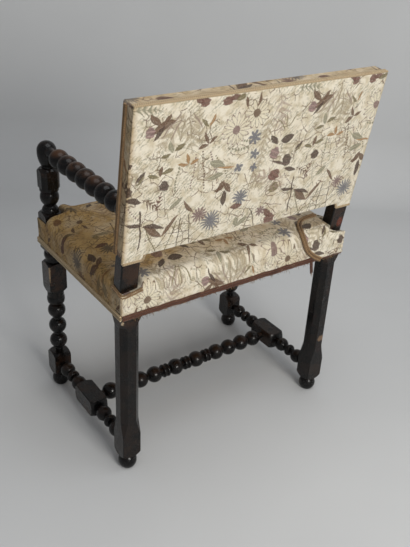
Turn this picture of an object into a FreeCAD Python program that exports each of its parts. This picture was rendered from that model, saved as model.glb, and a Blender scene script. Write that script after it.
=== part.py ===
import FreeCAD, Part
import math
import os

# Upholstered armchair with a bobbin-turned wooden frame. All sizes are in millimetres.
# The sitter faces -Y and +X is on the sitter's left. While the pieces are made, the
# origin lies on the floor midway between the four posts; place_on_origin moves them.

V = FreeCAD.Vector
ORIGIN = V(0, 0, 0)
X_AXIS = V(1, 0, 0)
Y_AXIS = V(0, 1, 0)
Z_AXIS = V(0, 0, 1)

# Plan of the four posts and the stock that they are made from
post_spacing_x = 557.0
post_spacing_y = 362.0
post_side = 45.0
post_arris = 1.8
turned_radius = 22.2
shoulder_swell = 1.8
overrun = 5.0

# Shares
diagonal_share = math.sqrt(2)
even_share = 0.5
block_shoulder_share = 0.35
knob_lower_share = 0.4
form_turn_share = 0.62
form_corner_share = 0.8

# Clearances
joint_gap = 0.1
soft_gap = 0.3
notch_gap = 0.5

# Turned feet and the lower blocks, the same on all four posts
foot_height = 33.0
foot_base_radius = 15.0
foot_radius = 21.5
foot_neck_radius = 14.0
foot_neck_length = 4.0
block_end_radius = 19.0
block_bottom = foot_height + foot_neck_length
lower_block_height = 67.0
block_shoulder_low = 18.0
block_shoulder_high = 15.0

# Balls, rings and blocks of the front posts
post_ball_count = 3
post_ball_radius = 22.0
post_neck_radius = 9.5
post_ball_pitch = 46.0
post_first_neck = 12.0
post_last_neck = 5.0
cup_ring_length = 19.0
cup_collar_radius = 20.5
cup_collar_length = 15.0
middle_block_height = 82.0
middle_block_end_radius = 20.0
ring_neck_radius = 18.5
ring_neck_length = 11.0
seat_ring_length = 16.0
seat_ring_end_radius = 17.0

# The square seat block of the front posts and what is turned above it
seat_block_drop = 13.0
seat_block_rise = 37.0
seat_block_end_radius = 22.0
arm_cone_length = 17.0
arm_cone_end_radius = 12.5
upper_ball_length = 37.0
upper_ball_end_radius = 16.0
upper_block_height = 55.0
upper_block_radius = 25.4
upper_block_foot_radius = 22.5
upper_block_foot_length = 8.0
upper_block_end_radius = 18.0
knob_neck_radius = 14.0
knob_neck_length = 4.0
knob_lower_length = 36.0

# The arm, from the knob back to the stile
arm_ball_count = 7
arm_ball_radius = 22.2
arm_ball_pitch = 42.7
arm_neck_radius = 9.0
arm_root_radius = 13.5
arm_first_neck = 23.5
arm_end_radius = 14.0
tenon_radius = 7.0
tenon_length = 16.0

# The rear posts: chamfered leg below the seat and raked stile above it
leg_chamfer = 12.0
leg_chamfer_bottom = 140.0
leg_chamfer_drop = 23.0
leg_stop_length = 44.0
leg_rise = 5.0
rake_angle = 8.47
stile_width = 41.0
stile_depth = 29.0
stile_setback = 9.0
stile_length = 396.0
stile_arris = 3.0
stile_root = 22.0

# Side stretchers: ball, ring and ball on each side of a square block
stretcher_height = 69.0
stretcher_side = 44.0
stretcher_ball_radius = 18.5
stretcher_neck_radius = 7.5
stretcher_ring_radius = 16.0
stretcher_ring_length = 15.0
stretcher_block_length = 92.0
stretcher_block_shoulder = 15.0
stretcher_block_end_radius = 16.5
stretcher_inner_neck = 4.5
stretcher_ring_neck = 7.5
stretcher_tenon_radius = 6.0
stretcher_tenon_length = 18.0

# Cross stretcher: balls with pairs of rings between the middle ones
cross_ball_radius = 21.2
cross_neck_radius = 8.5
cross_neck_length = 3.6
cross_ring_radius = 17.5
cross_ring_length = 8.0
cross_ring_groove = 3.0
cross_groove_radius = 14.0
cross_outer_ball_count = 4
cross_tenon_radius = 5.0
cross_tenon_length = 15.0

# Seat rails and their tenons
rail_bottom = 415.0
rail_height = 48.0
rail_thickness = 26.0
rail_tenon_thickness = 10.0
rail_tenon_height = 34.0
rail_tenon_length = 17.0
rail_tenon_setback = 8.0
peg_radius = 3.0
peg_length = 21.0

# Rails of the back frame, measured along the raked stiles
back_rail_thickness = 22.0
back_top_rail_height = 50.0
back_bottom_rail_height = 42.0
back_seat_opening = 34.0

# Webbing, hessian, stuffing and covers
web_width = 50.0
web_thickness = 2.0
web_margin = 10.0
seat_across_web_count = 4
seat_along_web_count = 6
back_across_web_count = 3
back_along_web_count = 5
hessian_thickness = 1.2
hessian_margin = 14.0
cover_thickness = 2.7

# Crowned form of the seat, in heights above the rails
seat_cover_lift = 2.0
seat_shoulder_rise = 3.0
seat_shoulder_x = 26.0
seat_edge_rise_x = 26.0
seat_crown_rise_x = 57.0
seat_shoulder_y = 25.0
seat_edge_rise_y = 34.0
seat_crown_rise_y = 64.0

# Crowned form of the back, in depth before the stiles' back faces
back_side_depth = 31.0
back_shoulder = 20.0
back_edge_depth = 41.0
back_crown_depth = 55.0

# Braids that cover the edges of the cloth, and the cloth tabs on the stiles
gimp_width = 13.0
gimp_thickness = 1.6
back_tab_drop = 12.0
tab_gimp_width = 9.0
arm_notch_radius = 24.5

# Places that follow from the sizes above
half_x = post_spacing_x / 2
half_y = post_spacing_y / 2
half_post = post_side / 2
outer_x = half_x + half_post
outer_y = half_y + half_post
rail_top = rail_bottom + rail_height
leg_top = rail_top + leg_rise
leg_chamfer_top = rail_bottom - leg_chamfer_drop
seat_block_bottom = rail_bottom - seat_block_drop
seat_block_top = rail_top + seat_block_rise
seat_cover_bottom = rail_bottom + seat_cover_lift
seat_shoulder_start = rail_top + seat_shoulder_rise
seat_edge_x = rail_top + seat_edge_rise_x
seat_crown_x = rail_top + seat_crown_rise_x
seat_edge_y = rail_top + seat_edge_rise_y
seat_crown_y = rail_top + seat_crown_rise_y
back_bottom_rail_base = seat_crown_y - leg_top + back_seat_opening
rake = math.radians(rake_angle)
stile_x = outer_x - stile_width / 2
full_radius = half_post * diagonal_share + post_arris
rail_middle = rail_bottom + rail_height / 2


class Turning:
    """Outline of a turned member, drawn along the Z axis from its lower end."""

    def __init__(self, height, radius):
        self.height = height
        self.radius = radius
        self.edges = [Part.LineSegment(V(0, 0, height), V(radius, 0, height)).toShape()]

    def here(self):
        return V(self.radius, 0, self.height)

    def go(self, length, radius):
        """A straight or tapered run, or a step when the length is zero."""
        start = self.here()
        self.height += length
        self.radius = radius
        self.edges.append(Part.LineSegment(start, self.here()).toShape())

    def curve(self, length, middle_radius, radius, middle_share=even_share):
        """An arc that passes middle_radius at middle_share of its length."""
        start = self.here()
        middle = V(middle_radius, 0, self.height + length * middle_share)
        self.height += length
        self.radius = radius
        self.edges.append(Part.Arc(start, middle, self.here()).toShape())

    def ball(self, ball_radius):
        """A sphere that starts and ends at the present radius."""
        half = math.sqrt(ball_radius ** 2 - self.radius ** 2)
        self.curve(2 * half, ball_radius, self.radius)

    def ring(self, length, ring_radius):
        """A rounded ring that returns to the present radius."""
        neck = self.radius
        flat = (ring_radius + neck) / 2
        self.go(0, flat)
        self.curve(length, ring_radius, flat)
        self.go(0, neck)

    def solid(self):
        top = V(0, 0, self.height)
        outline = list(self.edges)
        if self.radius > 0:
            outline.append(Part.LineSegment(self.here(), top).toShape())
        outline.append(Part.LineSegment(top, outline[0].Vertexes[0].Point).toShape())
        face = Part.Face(Part.Wire(Part.__sortEdges__(outline)))
        return face.revolve(ORIGIN, Z_AXIS, 360)


def box(low, high):
    """A block between two corners, in whichever order they come."""
    corner = V(min(low.x, high.x), min(low.y, high.y), min(low.z, high.z))
    far = V(max(low.x, high.x), max(low.y, high.y), max(low.z, high.z))
    size = far - corner
    return Part.makeBox(size.x, size.y, size.z, corner)


def rounded_bar(side_x, side_y, arris, bottom, top):
    """A squared bar with worn arrises, centred on the Z axis."""
    bar = Part.makeBox(side_x, side_y, top - bottom, V(-side_x / 2, -side_y / 2, bottom))
    upright = [e for e in bar.Edges if abs(e.tangentAt(e.FirstParameter).z) > 0.9]
    return bar.makeFillet(arris, upright)


def peg_hole(radius, length, start, direction):
    return Part.makeCylinder(radius, length, start, direction)


def along_y(shape, x, y, z):
    """Lay a member drawn along Z down along +Y, with its lower end at y."""
    laid = shape.copy()
    laid.rotate(ORIGIN, X_AXIS, -90)
    laid.translate(V(x, y, z))
    return laid


def along_x(shape, x, y, z):
    """Lay a member drawn along Z down along +X, with its lower end at x."""
    laid = shape.copy()
    laid.rotate(ORIGIN, Y_AXIS, 90)
    laid.translate(V(x, y, z))
    return laid


def lean(shape):
    """Carry a shape from the upright frame of the back to its raked place."""
    leaned = shape.copy()
    leaned.rotate(ORIGIN, X_AXIS, -rake_angle)
    leaned.translate(V(0, outer_y - stile_setback, leg_top))
    return leaned


def mirrored(shape):
    return shape.mirror(ORIGIN, X_AXIS)


def shoulder_middle(end_radius):
    return (end_radius + full_radius) / 2 + shoulder_swell


def open_block(turning, length, end_radius):
    """The rounded shoulder where a square block begins, up to its full corners."""
    turning.go(0, end_radius)
    turning.curve(length, shoulder_middle(end_radius), full_radius, block_shoulder_share)


def close_block(turning, length, end_radius):
    """The rounded shoulder where a square block ends."""
    turning.curve(length, shoulder_middle(end_radius), end_radius, 1 - block_shoulder_share)


def add_foot():
    """Bun foot and neck, ready for the block that stands on them."""
    turning = Turning(0, foot_base_radius)
    turning.curve(foot_height, foot_radius, foot_neck_radius)
    turning.go(foot_neck_length, foot_neck_radius)
    return turning


def add_block(turning, height, low, high, end_radius):
    """A square block: the turned outline swells past the stock and returns."""
    open_block(turning, low, end_radius)
    turning.go(height - low - high, full_radius)
    close_block(turning, high, end_radius)


def front_post_turning():
    turning = add_foot()
    add_block(turning, lower_block_height, block_shoulder_low, block_shoulder_high, block_end_radius)
    turning.go(0, post_neck_radius)
    turning.go(post_first_neck, post_neck_radius)
    ball_length = 2 * math.sqrt(post_ball_radius ** 2 - post_neck_radius ** 2)
    for ball in range(post_ball_count):
        if ball:
            turning.go(post_ball_pitch - ball_length, post_neck_radius)
        turning.ball(post_ball_radius)
    turning.go(post_last_neck, post_neck_radius)
    turning.go(0, cup_collar_radius)
    turning.curve(cup_ring_length, turned_radius, cup_collar_radius)
    turning.go(cup_collar_length, cup_collar_radius)
    add_block(turning, middle_block_height, block_shoulder_low, block_shoulder_high, middle_block_end_radius)
    turning.go(0, ring_neck_radius)
    turning.go(ring_neck_length, ring_neck_radius)
    turning.go(0, cup_collar_radius)
    turning.curve(seat_ring_length, turned_radius, cup_collar_radius)
    turning.go(0, seat_ring_end_radius)
    turning.go(seat_block_bottom - turning.height, seat_ring_end_radius)
    turning.go(0, full_radius)
    block_height = seat_block_top - seat_block_bottom
    turning.go(block_height - block_shoulder_high, full_radius)
    close_block(turning, block_shoulder_high, seat_block_end_radius)
    turning.go(0, seat_block_end_radius - shoulder_swell)
    turning.curve(arm_cone_length, turned_radius - 2 * shoulder_swell, arm_cone_end_radius)
    turning.curve(upper_ball_length, turned_radius, upper_ball_end_radius)
    turning.go(0, upper_block_foot_radius)
    turning.go(upper_block_foot_length, upper_block_foot_radius)
    turning.go(0, upper_block_radius)
    barrel = upper_block_height - upper_block_foot_length - block_shoulder_high / 2
    turning.go(barrel, upper_block_radius)
    shoulder = (upper_block_radius + upper_block_end_radius + shoulder_swell) / 2
    turning.curve(block_shoulder_high / 2, shoulder, upper_block_end_radius)
    turning.go(0, knob_neck_radius)
    turning.go(knob_neck_length, knob_neck_radius)
    lower_middle = (knob_neck_radius + turned_radius) / 2 + shoulder_swell
    turning.curve(knob_lower_length, lower_middle, turned_radius, knob_lower_share)
    return turning


front_outline = front_post_turning()
knob_centre = front_outline.height
arm_height = knob_centre


def knob_top():
    return Part.makeSphere(turned_radius, V(0, 0, knob_centre), Z_AXIS, 0, 90, 360)


def front_post():
    turned = front_outline.solid()
    bar = rounded_bar(post_side, post_side, post_arris, -overrun, knob_centre + overrun)
    squared = turned.common(bar)
    post = squared.fuse(knob_top()).removeSplitter()
    arm_hole = peg_hole(tenon_radius + joint_gap, tenon_length + turned_radius, V(0, 0, arm_height), Y_AXIS)
    stretcher_hole = peg_hole(
        stretcher_tenon_radius + joint_gap,
        stretcher_tenon_length + joint_gap,
        V(0, half_post, stretcher_height),
        -Y_AXIS,
    )
    post = post.cut(arm_hole.common(Part.makeSphere(turned_radius + overrun, V(0, 0, arm_height))))
    post = post.cut(stretcher_hole)
    post.translate(V(half_x, -half_y, 0))
    return post


def rear_foot_turning():
    turning = add_foot()
    open_block(turning, block_shoulder_low, block_end_radius)
    turning.go(leg_top - turning.height, full_radius)
    return turning


def leg_chamfer_cutter():
    """A four-sided tool whose inner faces leave an octagonal leg, with ramped stops."""
    reach = half_post * diagonal_share
    depth = leg_chamfer / diagonal_share
    outline = [
        V(reach + overrun, 0, leg_chamfer_bottom - leg_stop_length),
        V(reach, 0, leg_chamfer_bottom - leg_stop_length),
        V(reach - depth, 0, leg_chamfer_bottom),
        V(reach - depth, 0, leg_chamfer_top),
        V(reach, 0, leg_chamfer_top + leg_stop_length / 2),
        V(reach + overrun, 0, leg_chamfer_top + leg_stop_length / 2),
    ]
    wire = Part.makePolygon(outline + outline[:1])
    wire.translate(V(0, -half_post, 0))
    cutter = Part.Face(wire).extrude(V(0, post_side, 0))
    cutters = []
    for corner in range(4):
        turned = cutter.copy()
        turned.rotate(ORIGIN, Z_AXIS, 45 + 90 * corner)
        cutters.append(turned)
    return Part.makeCompound(cutters)


def stile(gap, bottom, top):
    """The raked stile of the left rear post, larger all round by gap."""
    bar = rounded_bar(stile_width + 2 * gap, stile_depth + 2 * gap, stile_arris, bottom, top)
    bar.translate(V(stile_x, -stile_depth / 2, 0))
    return lean(bar)


def rear_post():
    turned = rear_foot_turning().solid()
    bar = rounded_bar(post_side, post_side, post_arris, -overrun, leg_top + overrun)
    leg = turned.common(bar).cut(leg_chamfer_cutter())
    leg.translate(V(half_x, half_y, 0))
    post = leg.fuse(stile(0, -stile_root, stile_length)).removeSplitter()
    stretcher_hole = peg_hole(
        stretcher_tenon_radius + joint_gap,
        stretcher_tenon_length + joint_gap,
        V(half_x, half_y - half_post, stretcher_height),
        Y_AXIS,
    )
    arm_hole = peg_hole(
        tenon_radius + joint_gap,
        tenon_length + joint_gap,
        V(half_x, arm_end_y(), arm_height),
        Y_AXIS,
    )
    arm_lead = peg_hole(
        tenon_radius + joint_gap,
        overrun,
        V(half_x, arm_end_y() - overrun, arm_height),
        Y_AXIS,
    )
    return post.cut(stretcher_hole).cut(arm_hole).cut(arm_lead)


def arm_end_y():
    """Where the arm's axis meets the front face of the raked stile."""
    back_face = outer_y - stile_setback + (arm_height - leg_top) * math.tan(rake)
    return back_face - stile_depth / math.cos(rake)


def arm():
    turning = Turning(turned_radius / 2, arm_root_radius)
    turning.go(turned_radius / 2 + arm_first_neck, arm_neck_radius)
    ball_length = 2 * math.sqrt(arm_ball_radius ** 2 - arm_neck_radius ** 2)
    for ball in range(arm_ball_count):
        turning.ball(arm_ball_radius)
        turning.go(arm_ball_pitch - ball_length, arm_neck_radius)
    end_length = arm_end_y() + half_y - turning.height + overrun
    turning.curve(end_length, arm_ball_radius, arm_end_radius)
    body = along_y(turning.solid(), half_x, -half_y, arm_height)
    knob = Part.makeSphere(turned_radius + joint_gap, V(half_x, -half_y, arm_height))
    behind = box(V(-outer_x, -stile_depth, 0), V(outer_x, half_y, stile_length))
    behind.translate(V(outer_x, 0, 0))
    body = body.cut(knob).cut(lean(behind))
    middle = turned_radius + overrun
    front_tenon = peg_hole(
        tenon_radius,
        middle - (turned_radius - tenon_length) - joint_gap,
        V(half_x, -half_y + turned_radius - tenon_length + joint_gap, arm_height),
        Y_AXIS,
    )
    rear_tenon = peg_hole(
        tenon_radius,
        tenon_length + overrun,
        V(half_x, arm_end_y() - overrun, arm_height),
        Y_AXIS,
    )
    return body.fuse([front_tenon, rear_tenon]).removeSplitter()


def side_stretcher():
    half_length = half_y - half_post
    turning = Turning(0, stretcher_neck_radius)
    ball_length = 2 * math.sqrt(stretcher_ball_radius ** 2 - stretcher_neck_radius ** 2)
    used = stretcher_block_length / 2 + stretcher_inner_neck + 2 * ball_length
    used += 2 * stretcher_ring_neck + stretcher_ring_length
    end_neck = half_length - used
    turning.go(end_neck, stretcher_neck_radius)
    turning.ball(stretcher_ball_radius)
    turning.go(stretcher_ring_neck, stretcher_neck_radius)
    turning.ring(stretcher_ring_length, stretcher_ring_radius)
    turning.go(stretcher_ring_neck, stretcher_neck_radius)
    turning.ball(stretcher_ball_radius)
    turning.go(stretcher_inner_neck, stretcher_neck_radius)
    shoulder = stretcher_block_shoulder
    add_block(turning, stretcher_block_length, shoulder, shoulder, stretcher_block_end_radius)
    turning.go(0, stretcher_neck_radius)
    turning.go(stretcher_inner_neck, stretcher_neck_radius)
    turning.ball(stretcher_ball_radius)
    turning.go(stretcher_ring_neck, stretcher_neck_radius)
    turning.ring(stretcher_ring_length, stretcher_ring_radius)
    turning.go(stretcher_ring_neck, stretcher_neck_radius)
    turning.ball(stretcher_ball_radius)
    turning.go(end_neck, stretcher_neck_radius)
    bar = rounded_bar(stretcher_side, stretcher_side, post_arris, -overrun, 2 * half_length + overrun)
    body = turning.solid().common(bar)
    tenons = Part.makeCylinder(
        stretcher_tenon_radius,
        2 * half_length + 2 * stretcher_tenon_length,
        V(0, 0, -stretcher_tenon_length),
    )
    body = body.fuse(tenons).removeSplitter()
    laid = along_y(body, half_x, -half_length, stretcher_height)
    mortise = peg_hole(
        cross_tenon_radius + joint_gap,
        cross_tenon_length + joint_gap,
        V(half_x - stretcher_side / 2, 0, stretcher_height),
        X_AXIS,
    )
    return laid.cut(mortise)


def add_ring_pair(turning):
    turning.go(cross_neck_length, cross_neck_radius)
    turning.go(0, cross_groove_radius)
    turning.curve(cross_ring_length, cross_ring_radius, cross_groove_radius)
    turning.go(cross_ring_groove, cross_groove_radius)
    turning.curve(cross_ring_length, cross_ring_radius, cross_groove_radius)
    turning.go(0, cross_neck_radius)
    turning.go(cross_neck_length, cross_neck_radius)


def cross_stretcher():
    half_length = half_x - stretcher_side / 2
    ball_length = 2 * math.sqrt(cross_ball_radius ** 2 - cross_neck_radius ** 2)
    pair_length = 2 * cross_ring_length + cross_ring_groove + 2 * cross_neck_length
    outer_pitch = ball_length + cross_neck_length
    used = pair_length * 1.5 + ball_length + cross_outer_ball_count * outer_pitch
    end_neck = half_length - used + cross_neck_length
    turning = Turning(0, cross_neck_radius)
    turning.go(end_neck, cross_neck_radius)
    for ball in range(cross_outer_ball_count):
        if ball:
            turning.go(cross_neck_length, cross_neck_radius)
        turning.ball(cross_ball_radius)
    add_ring_pair(turning)
    turning.ball(cross_ball_radius)
    add_ring_pair(turning)
    turning.ball(cross_ball_radius)
    add_ring_pair(turning)
    for ball in range(cross_outer_ball_count):
        if ball:
            turning.go(cross_neck_length, cross_neck_radius)
        turning.ball(cross_ball_radius)
    turning.go(end_neck, cross_neck_radius)
    tenons = Part.makeCylinder(
        cross_tenon_radius,
        2 * half_length + 2 * cross_tenon_length,
        V(0, 0, -cross_tenon_length),
    )
    body = turning.solid().fuse(tenons).removeSplitter()
    return along_x(body, -half_length, 0, stretcher_height)


def rail_tenon_levels(gap):
    low = rail_middle - rail_tenon_height / 2 - gap
    high = rail_middle + rail_tenon_height / 2 + gap
    return low, high


def end_rail(side, gap=0.0):
    """Front rail (side -1) or rear rail (side +1), tenoned between its posts."""
    outer = side * outer_y
    inner = side * (outer_y - rail_thickness)
    shoulder = half_x - half_post
    low, high = rail_tenon_levels(gap)
    tenon_outer = side * (outer_y - rail_tenon_setback + gap)
    tenon_inner = side * (outer_y - rail_tenon_setback - rail_tenon_thickness - gap)
    reach = shoulder + rail_tenon_length + gap
    tenons = box(V(-reach, tenon_outer, low), V(reach, tenon_inner, high))
    if gap:
        return tenons
    return box(V(-shoulder, outer, rail_bottom), V(shoulder, inner, rail_top)).fuse(tenons)


def side_rail(gap=0.0):
    """Left rail, tenoned between the front and the rear post."""
    shoulder = half_y - half_post
    low, high = rail_tenon_levels(gap)
    tenon_outer = outer_x - rail_tenon_setback + gap
    tenon_inner = outer_x - rail_tenon_setback - rail_tenon_thickness - gap
    reach = shoulder + rail_tenon_length + gap
    tenons = box(V(tenon_outer, -reach, low), V(tenon_inner, reach, high))
    if gap:
        return tenons
    rail = box(V(outer_x, -shoulder, rail_bottom), V(outer_x - rail_thickness, shoulder, rail_top))
    return rail.fuse(tenons)


def back_rail(base, height, gap=0.0):
    """A rail of the back frame, flush with the back faces of the stiles."""
    shoulder = outer_x - stile_width
    tenon_height = height - 2 * rail_tenon_setback
    depth = (back_rail_thickness - rail_tenon_thickness) / 2
    reach = shoulder + rail_tenon_length + gap
    tenons = box(
        V(-reach, -depth + gap, base + rail_tenon_setback - gap),
        V(reach, -depth - rail_tenon_thickness - gap, base + rail_tenon_setback + tenon_height + gap),
    )
    if gap:
        return lean(tenons)
    body = box(V(-shoulder, 0, base), V(shoulder, -back_rail_thickness, base + height))
    return lean(body.fuse(tenons))


def seat_peg_places():
    """Start and direction of each peg that pins a tenon of the seat rails."""
    inset = rail_tenon_length / 2
    places = []
    for x_side in (-1, 1):
        for y_side in (-1, 1):
            across = V(x_side * (half_x - half_post + inset), y_side * outer_y, rail_middle)
            places.append((across, V(0, -y_side, 0)))
            along = V(x_side * outer_x, y_side * (half_y - half_post + inset), rail_middle)
            places.append((along, V(-x_side, 0, 0)))
    return places


def pegs(gap):
    inset = rail_tenon_length / 2
    solids = []
    for start, direction in seat_peg_places():
        solids.append(peg_hole(peg_radius + gap, peg_length + gap, start, direction))
    for middle in back_rail_middles():
        for side in (-1, 1):
            start = V(side * (outer_x - stile_width + inset), 0, middle)
            peg = peg_hole(peg_radius + gap, peg_length + gap, start, -Y_AXIS)
            solids.append(lean(peg))
    return solids


def back_top_rail_base():
    return stile_length - back_top_rail_height


def back_rail_middles():
    top = back_top_rail_base() + back_top_rail_height / 2
    bottom = back_bottom_rail_base + back_bottom_rail_height / 2
    return top, bottom


def web_places(count, reach):
    """Middles of count webs, spread evenly between -reach and +reach."""
    pitch = 2 * reach / count
    return [-reach + pitch * (number + even_share) for number in range(count)]


def seat_webbing():
    reach_x = outer_x - web_margin
    reach_y = outer_y - web_margin
    lower = rail_top
    upper = rail_top + web_thickness + soft_gap
    half = web_width / 2
    webs = []
    for y in web_places(seat_across_web_count, half_y - half_post):
        webs.append(box(V(-reach_x, y - half, lower), V(reach_x, y + half, lower + web_thickness)))
    for x in web_places(seat_along_web_count, half_x - half_post):
        webs.append(box(V(x - half, -reach_y, upper), V(x + half, reach_y, upper + web_thickness)))
    return Part.makeCompound(webs)


seat_web_top = rail_top + 2 * web_thickness + soft_gap
seat_hessian_base = seat_web_top + soft_gap
seat_stuffing_base = seat_hessian_base + hessian_thickness + soft_gap


def crowned_profile(half_width, base, shoulder_start, shoulder, edge, crown, to_point):
    """Upright sides, rounded shoulders and one long arc over the top."""
    corner = shoulder * (1 - 1 / diagonal_share) * form_corner_share
    rise = edge - shoulder_start
    left = to_point(-half_width, base)
    left_top = to_point(-half_width, shoulder_start)
    left_turn = to_point(-half_width + corner, shoulder_start + rise * form_turn_share)
    left_edge = to_point(-half_width + shoulder, edge)
    right = to_point(half_width, base)
    right_top = to_point(half_width, shoulder_start)
    right_turn = to_point(half_width - corner, shoulder_start + rise * form_turn_share)
    right_edge = to_point(half_width - shoulder, edge)
    edges = [
        Part.LineSegment(left, left_top).toShape(),
        Part.Arc(left_top, left_turn, left_edge).toShape(),
        Part.Arc(left_edge, to_point(0, crown), right_edge).toShape(),
        Part.Arc(right_edge, right_turn, right_top).toShape(),
        Part.LineSegment(right_top, right).toShape(),
        Part.LineSegment(right, left).toShape(),
    ]
    return Part.Face(Part.Wire(edges))


def seat_form(inset, base):
    """The crowned seat, smaller by inset on every side."""
    half_width = outer_x + soft_gap + cover_thickness - inset
    half_depth = outer_y + soft_gap + cover_thickness - inset
    across = crowned_profile(
        half_width, base, seat_shoulder_start, seat_shoulder_x,
        seat_edge_x - inset, seat_crown_x - inset,
        lambda along, up: V(along, -half_depth - overrun, up),
    )
    along = crowned_profile(
        half_depth, base, seat_shoulder_start, seat_shoulder_y,
        seat_edge_y - inset, seat_crown_y - inset,
        lambda along, up: V(-half_width - overrun, along, up),
    )
    wide = across.extrude(V(0, 2 * half_depth + 2 * overrun, 0))
    deep = along.extrude(V(2 * half_width + 2 * overrun, 0, 0))
    return wide.common(deep)


def post_cutouts(gap):
    """The room that the four posts take in the seat's cloth and stuffing."""
    side = post_side + 2 * gap
    cuts = []
    front = box(V(-side / 2, -side / 2, rail_bottom - overrun), V(side / 2, side / 2, seat_crown_y))
    front.translate(V(half_x, -half_y, 0))
    rear = box(V(-side / 2, -side / 2, rail_bottom - overrun), V(side / 2, side / 2, leg_top + gap))
    rear.translate(V(half_x, half_y, 0))
    raked = stile(gap, -stile_root, seat_crown_y - leg_top)
    for cut in (front, rear, raked):
        cuts.append(cut)
        cuts.append(mirrored(cut))
    return cuts


def seat_cover():
    shell = seat_form(0, seat_cover_bottom).cut(seat_form(cover_thickness, seat_cover_bottom - overrun))
    return shell.cut(post_cutouts(notch_gap))


def seat_stuffing():
    pad = seat_form(cover_thickness + soft_gap, rail_bottom)
    under = box(
        V(-outer_x - overrun, -outer_y - overrun, rail_bottom - overrun),
        V(outer_x + overrun, outer_y + overrun, seat_stuffing_base),
    )
    return pad.cut(under).cut(post_cutouts(notch_gap))


def seat_hessian():
    reach_x = outer_x - hessian_margin
    reach_y = outer_y - hessian_margin
    top = seat_hessian_base + hessian_thickness
    sheet = box(V(-reach_x, -reach_y, seat_hessian_base), V(reach_x, reach_y, top))
    return sheet.cut(post_cutouts(notch_gap))


back_form_base = back_bottom_rail_base - soft_gap - cover_thickness
back_form_top = stile_length + soft_gap + cover_thickness
back_web_front = stile_depth + 2 * web_thickness + soft_gap


def back_form(inset):
    """The crowned pad of the back, upright, smaller by inset on every outer side."""
    half_width = outer_x + soft_gap + cover_thickness - inset
    middle = (back_form_base + back_form_top) / 2
    half_height = (back_form_top - back_form_base) / 2 - inset
    across = crowned_profile(
        half_width, 0, back_side_depth, back_shoulder,
        back_edge_depth - inset, back_crown_depth - inset,
        lambda along, deep: V(along, -deep, back_form_base - overrun),
    )
    upward = crowned_profile(
        half_height, 0, back_side_depth, back_shoulder,
        back_edge_depth - inset, back_crown_depth - inset,
        lambda along, deep: V(-half_width - overrun, -deep, middle + along),
    )
    wide = across.extrude(V(0, 0, back_form_top - back_form_base + 2 * overrun))
    high = upward.extrude(V(2 * half_width + 2 * overrun, 0, 0))
    return wide.common(high)


def stile_room(gap):
    """The room that the two upright stiles take in the back."""
    bar = box(
        V(stile_x - stile_width / 2 - gap, overrun, -overrun),
        V(stile_x + stile_width / 2 + gap, -stile_depth - gap, stile_length + gap),
    )
    return [bar, mirrored(bar)]


def arm_notches():
    """Round holes in the back's padding for the two arms."""
    notch = peg_hole(arm_notch_radius, 2 * post_side, V(half_x, arm_end_y() - 2 * post_side, arm_height), Y_AXIS)
    return [notch, mirrored(notch)]


def back_front_cover():
    hollow = back_form(cover_thickness)
    shell = back_form(0).cut(hollow).cut(stile_room(notch_gap))
    return lean(shell).cut(arm_notches())


def back_webbing():
    reach_x = outer_x - web_margin
    low = back_bottom_rail_base + web_margin
    high = stile_length - web_margin
    half = web_width / 2
    middle = (low + high) / 2
    first = -stile_depth
    second = -stile_depth - web_thickness - soft_gap
    webs = []
    for z in web_places(back_across_web_count, (high - low) / 2):
        webs.append(box(V(-reach_x, first, middle + z - half), V(reach_x, first - web_thickness, middle + z + half)))
    for x in web_places(back_along_web_count, outer_x - stile_width):
        webs.append(box(V(x - half, second, low), V(x + half, second - web_thickness, high)))
    return lean(Part.makeCompound(webs)).cut(arm_notches())


def back_hessian():
    reach_x = outer_x - hessian_margin
    front = -back_web_front - soft_gap
    sheet = box(
        V(-reach_x, front, back_bottom_rail_base + hessian_margin),
        V(reach_x, front - hessian_thickness, stile_length - hessian_margin),
    )
    return lean(sheet).cut(arm_notches())


def back_stuffing():
    pad = back_form(cover_thickness + soft_gap)
    front = -back_web_front - 2 * soft_gap - hessian_thickness
    behind = box(V(-outer_x - overrun, overrun, -overrun), V(outer_x + overrun, front, stile_length + post_side))
    return lean(pad.cut(behind)).cut(arm_notches())


def back_outside_cover():
    """The cloth over the back, with a short tab down each stile."""
    reach_x = outer_x + soft_gap + cover_thickness
    far = soft_gap + cover_thickness
    sheet = box(V(-reach_x, soft_gap, back_form_base), V(reach_x, far, back_form_top))
    tab = box(
        V(reach_x, soft_gap, back_form_base - back_tab_drop),
        V(outer_x - stile_width, far, back_form_base),
    )
    return lean(sheet.fuse([tab, mirrored(tab)]).removeSplitter())


def back_gimp_side():
    """The braid on the side face of the back, along its front edge."""
    near = outer_x + 2 * soft_gap + cover_thickness
    front = -back_side_depth
    low = V(near, front, back_form_base)
    return lean(box(low, V(near + gimp_thickness, front + gimp_width, back_form_top)))


def back_gimp_top():
    """The braid on the top face of the back, along its back edge."""
    reach_x = outer_x + soft_gap + cover_thickness
    back = soft_gap + cover_thickness
    low = back_form_top + soft_gap
    return lean(box(V(-reach_x, back, low), V(reach_x, back - gimp_width, low + gimp_thickness)))


def back_gimp_bottom():
    """Two short braids along the lower edges of the tabs."""
    reach_x = outer_x + soft_gap + cover_thickness
    near = 2 * soft_gap + cover_thickness
    low = back_form_base - back_tab_drop
    high = low + tab_gimp_width
    band = lean(box(V(reach_x, near, low), V(outer_x - stile_width, near + gimp_thickness, high)))
    return Part.makeCompound([band, mirrored(band)])


def seat_gimp_side():
    near = outer_x + 2 * soft_gap + cover_thickness
    reach_y = outer_y + soft_gap + cover_thickness
    low = V(near, -reach_y, seat_cover_bottom - gimp_thickness)
    return box(low, V(near + gimp_thickness, reach_y, seat_cover_bottom + gimp_width))


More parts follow.
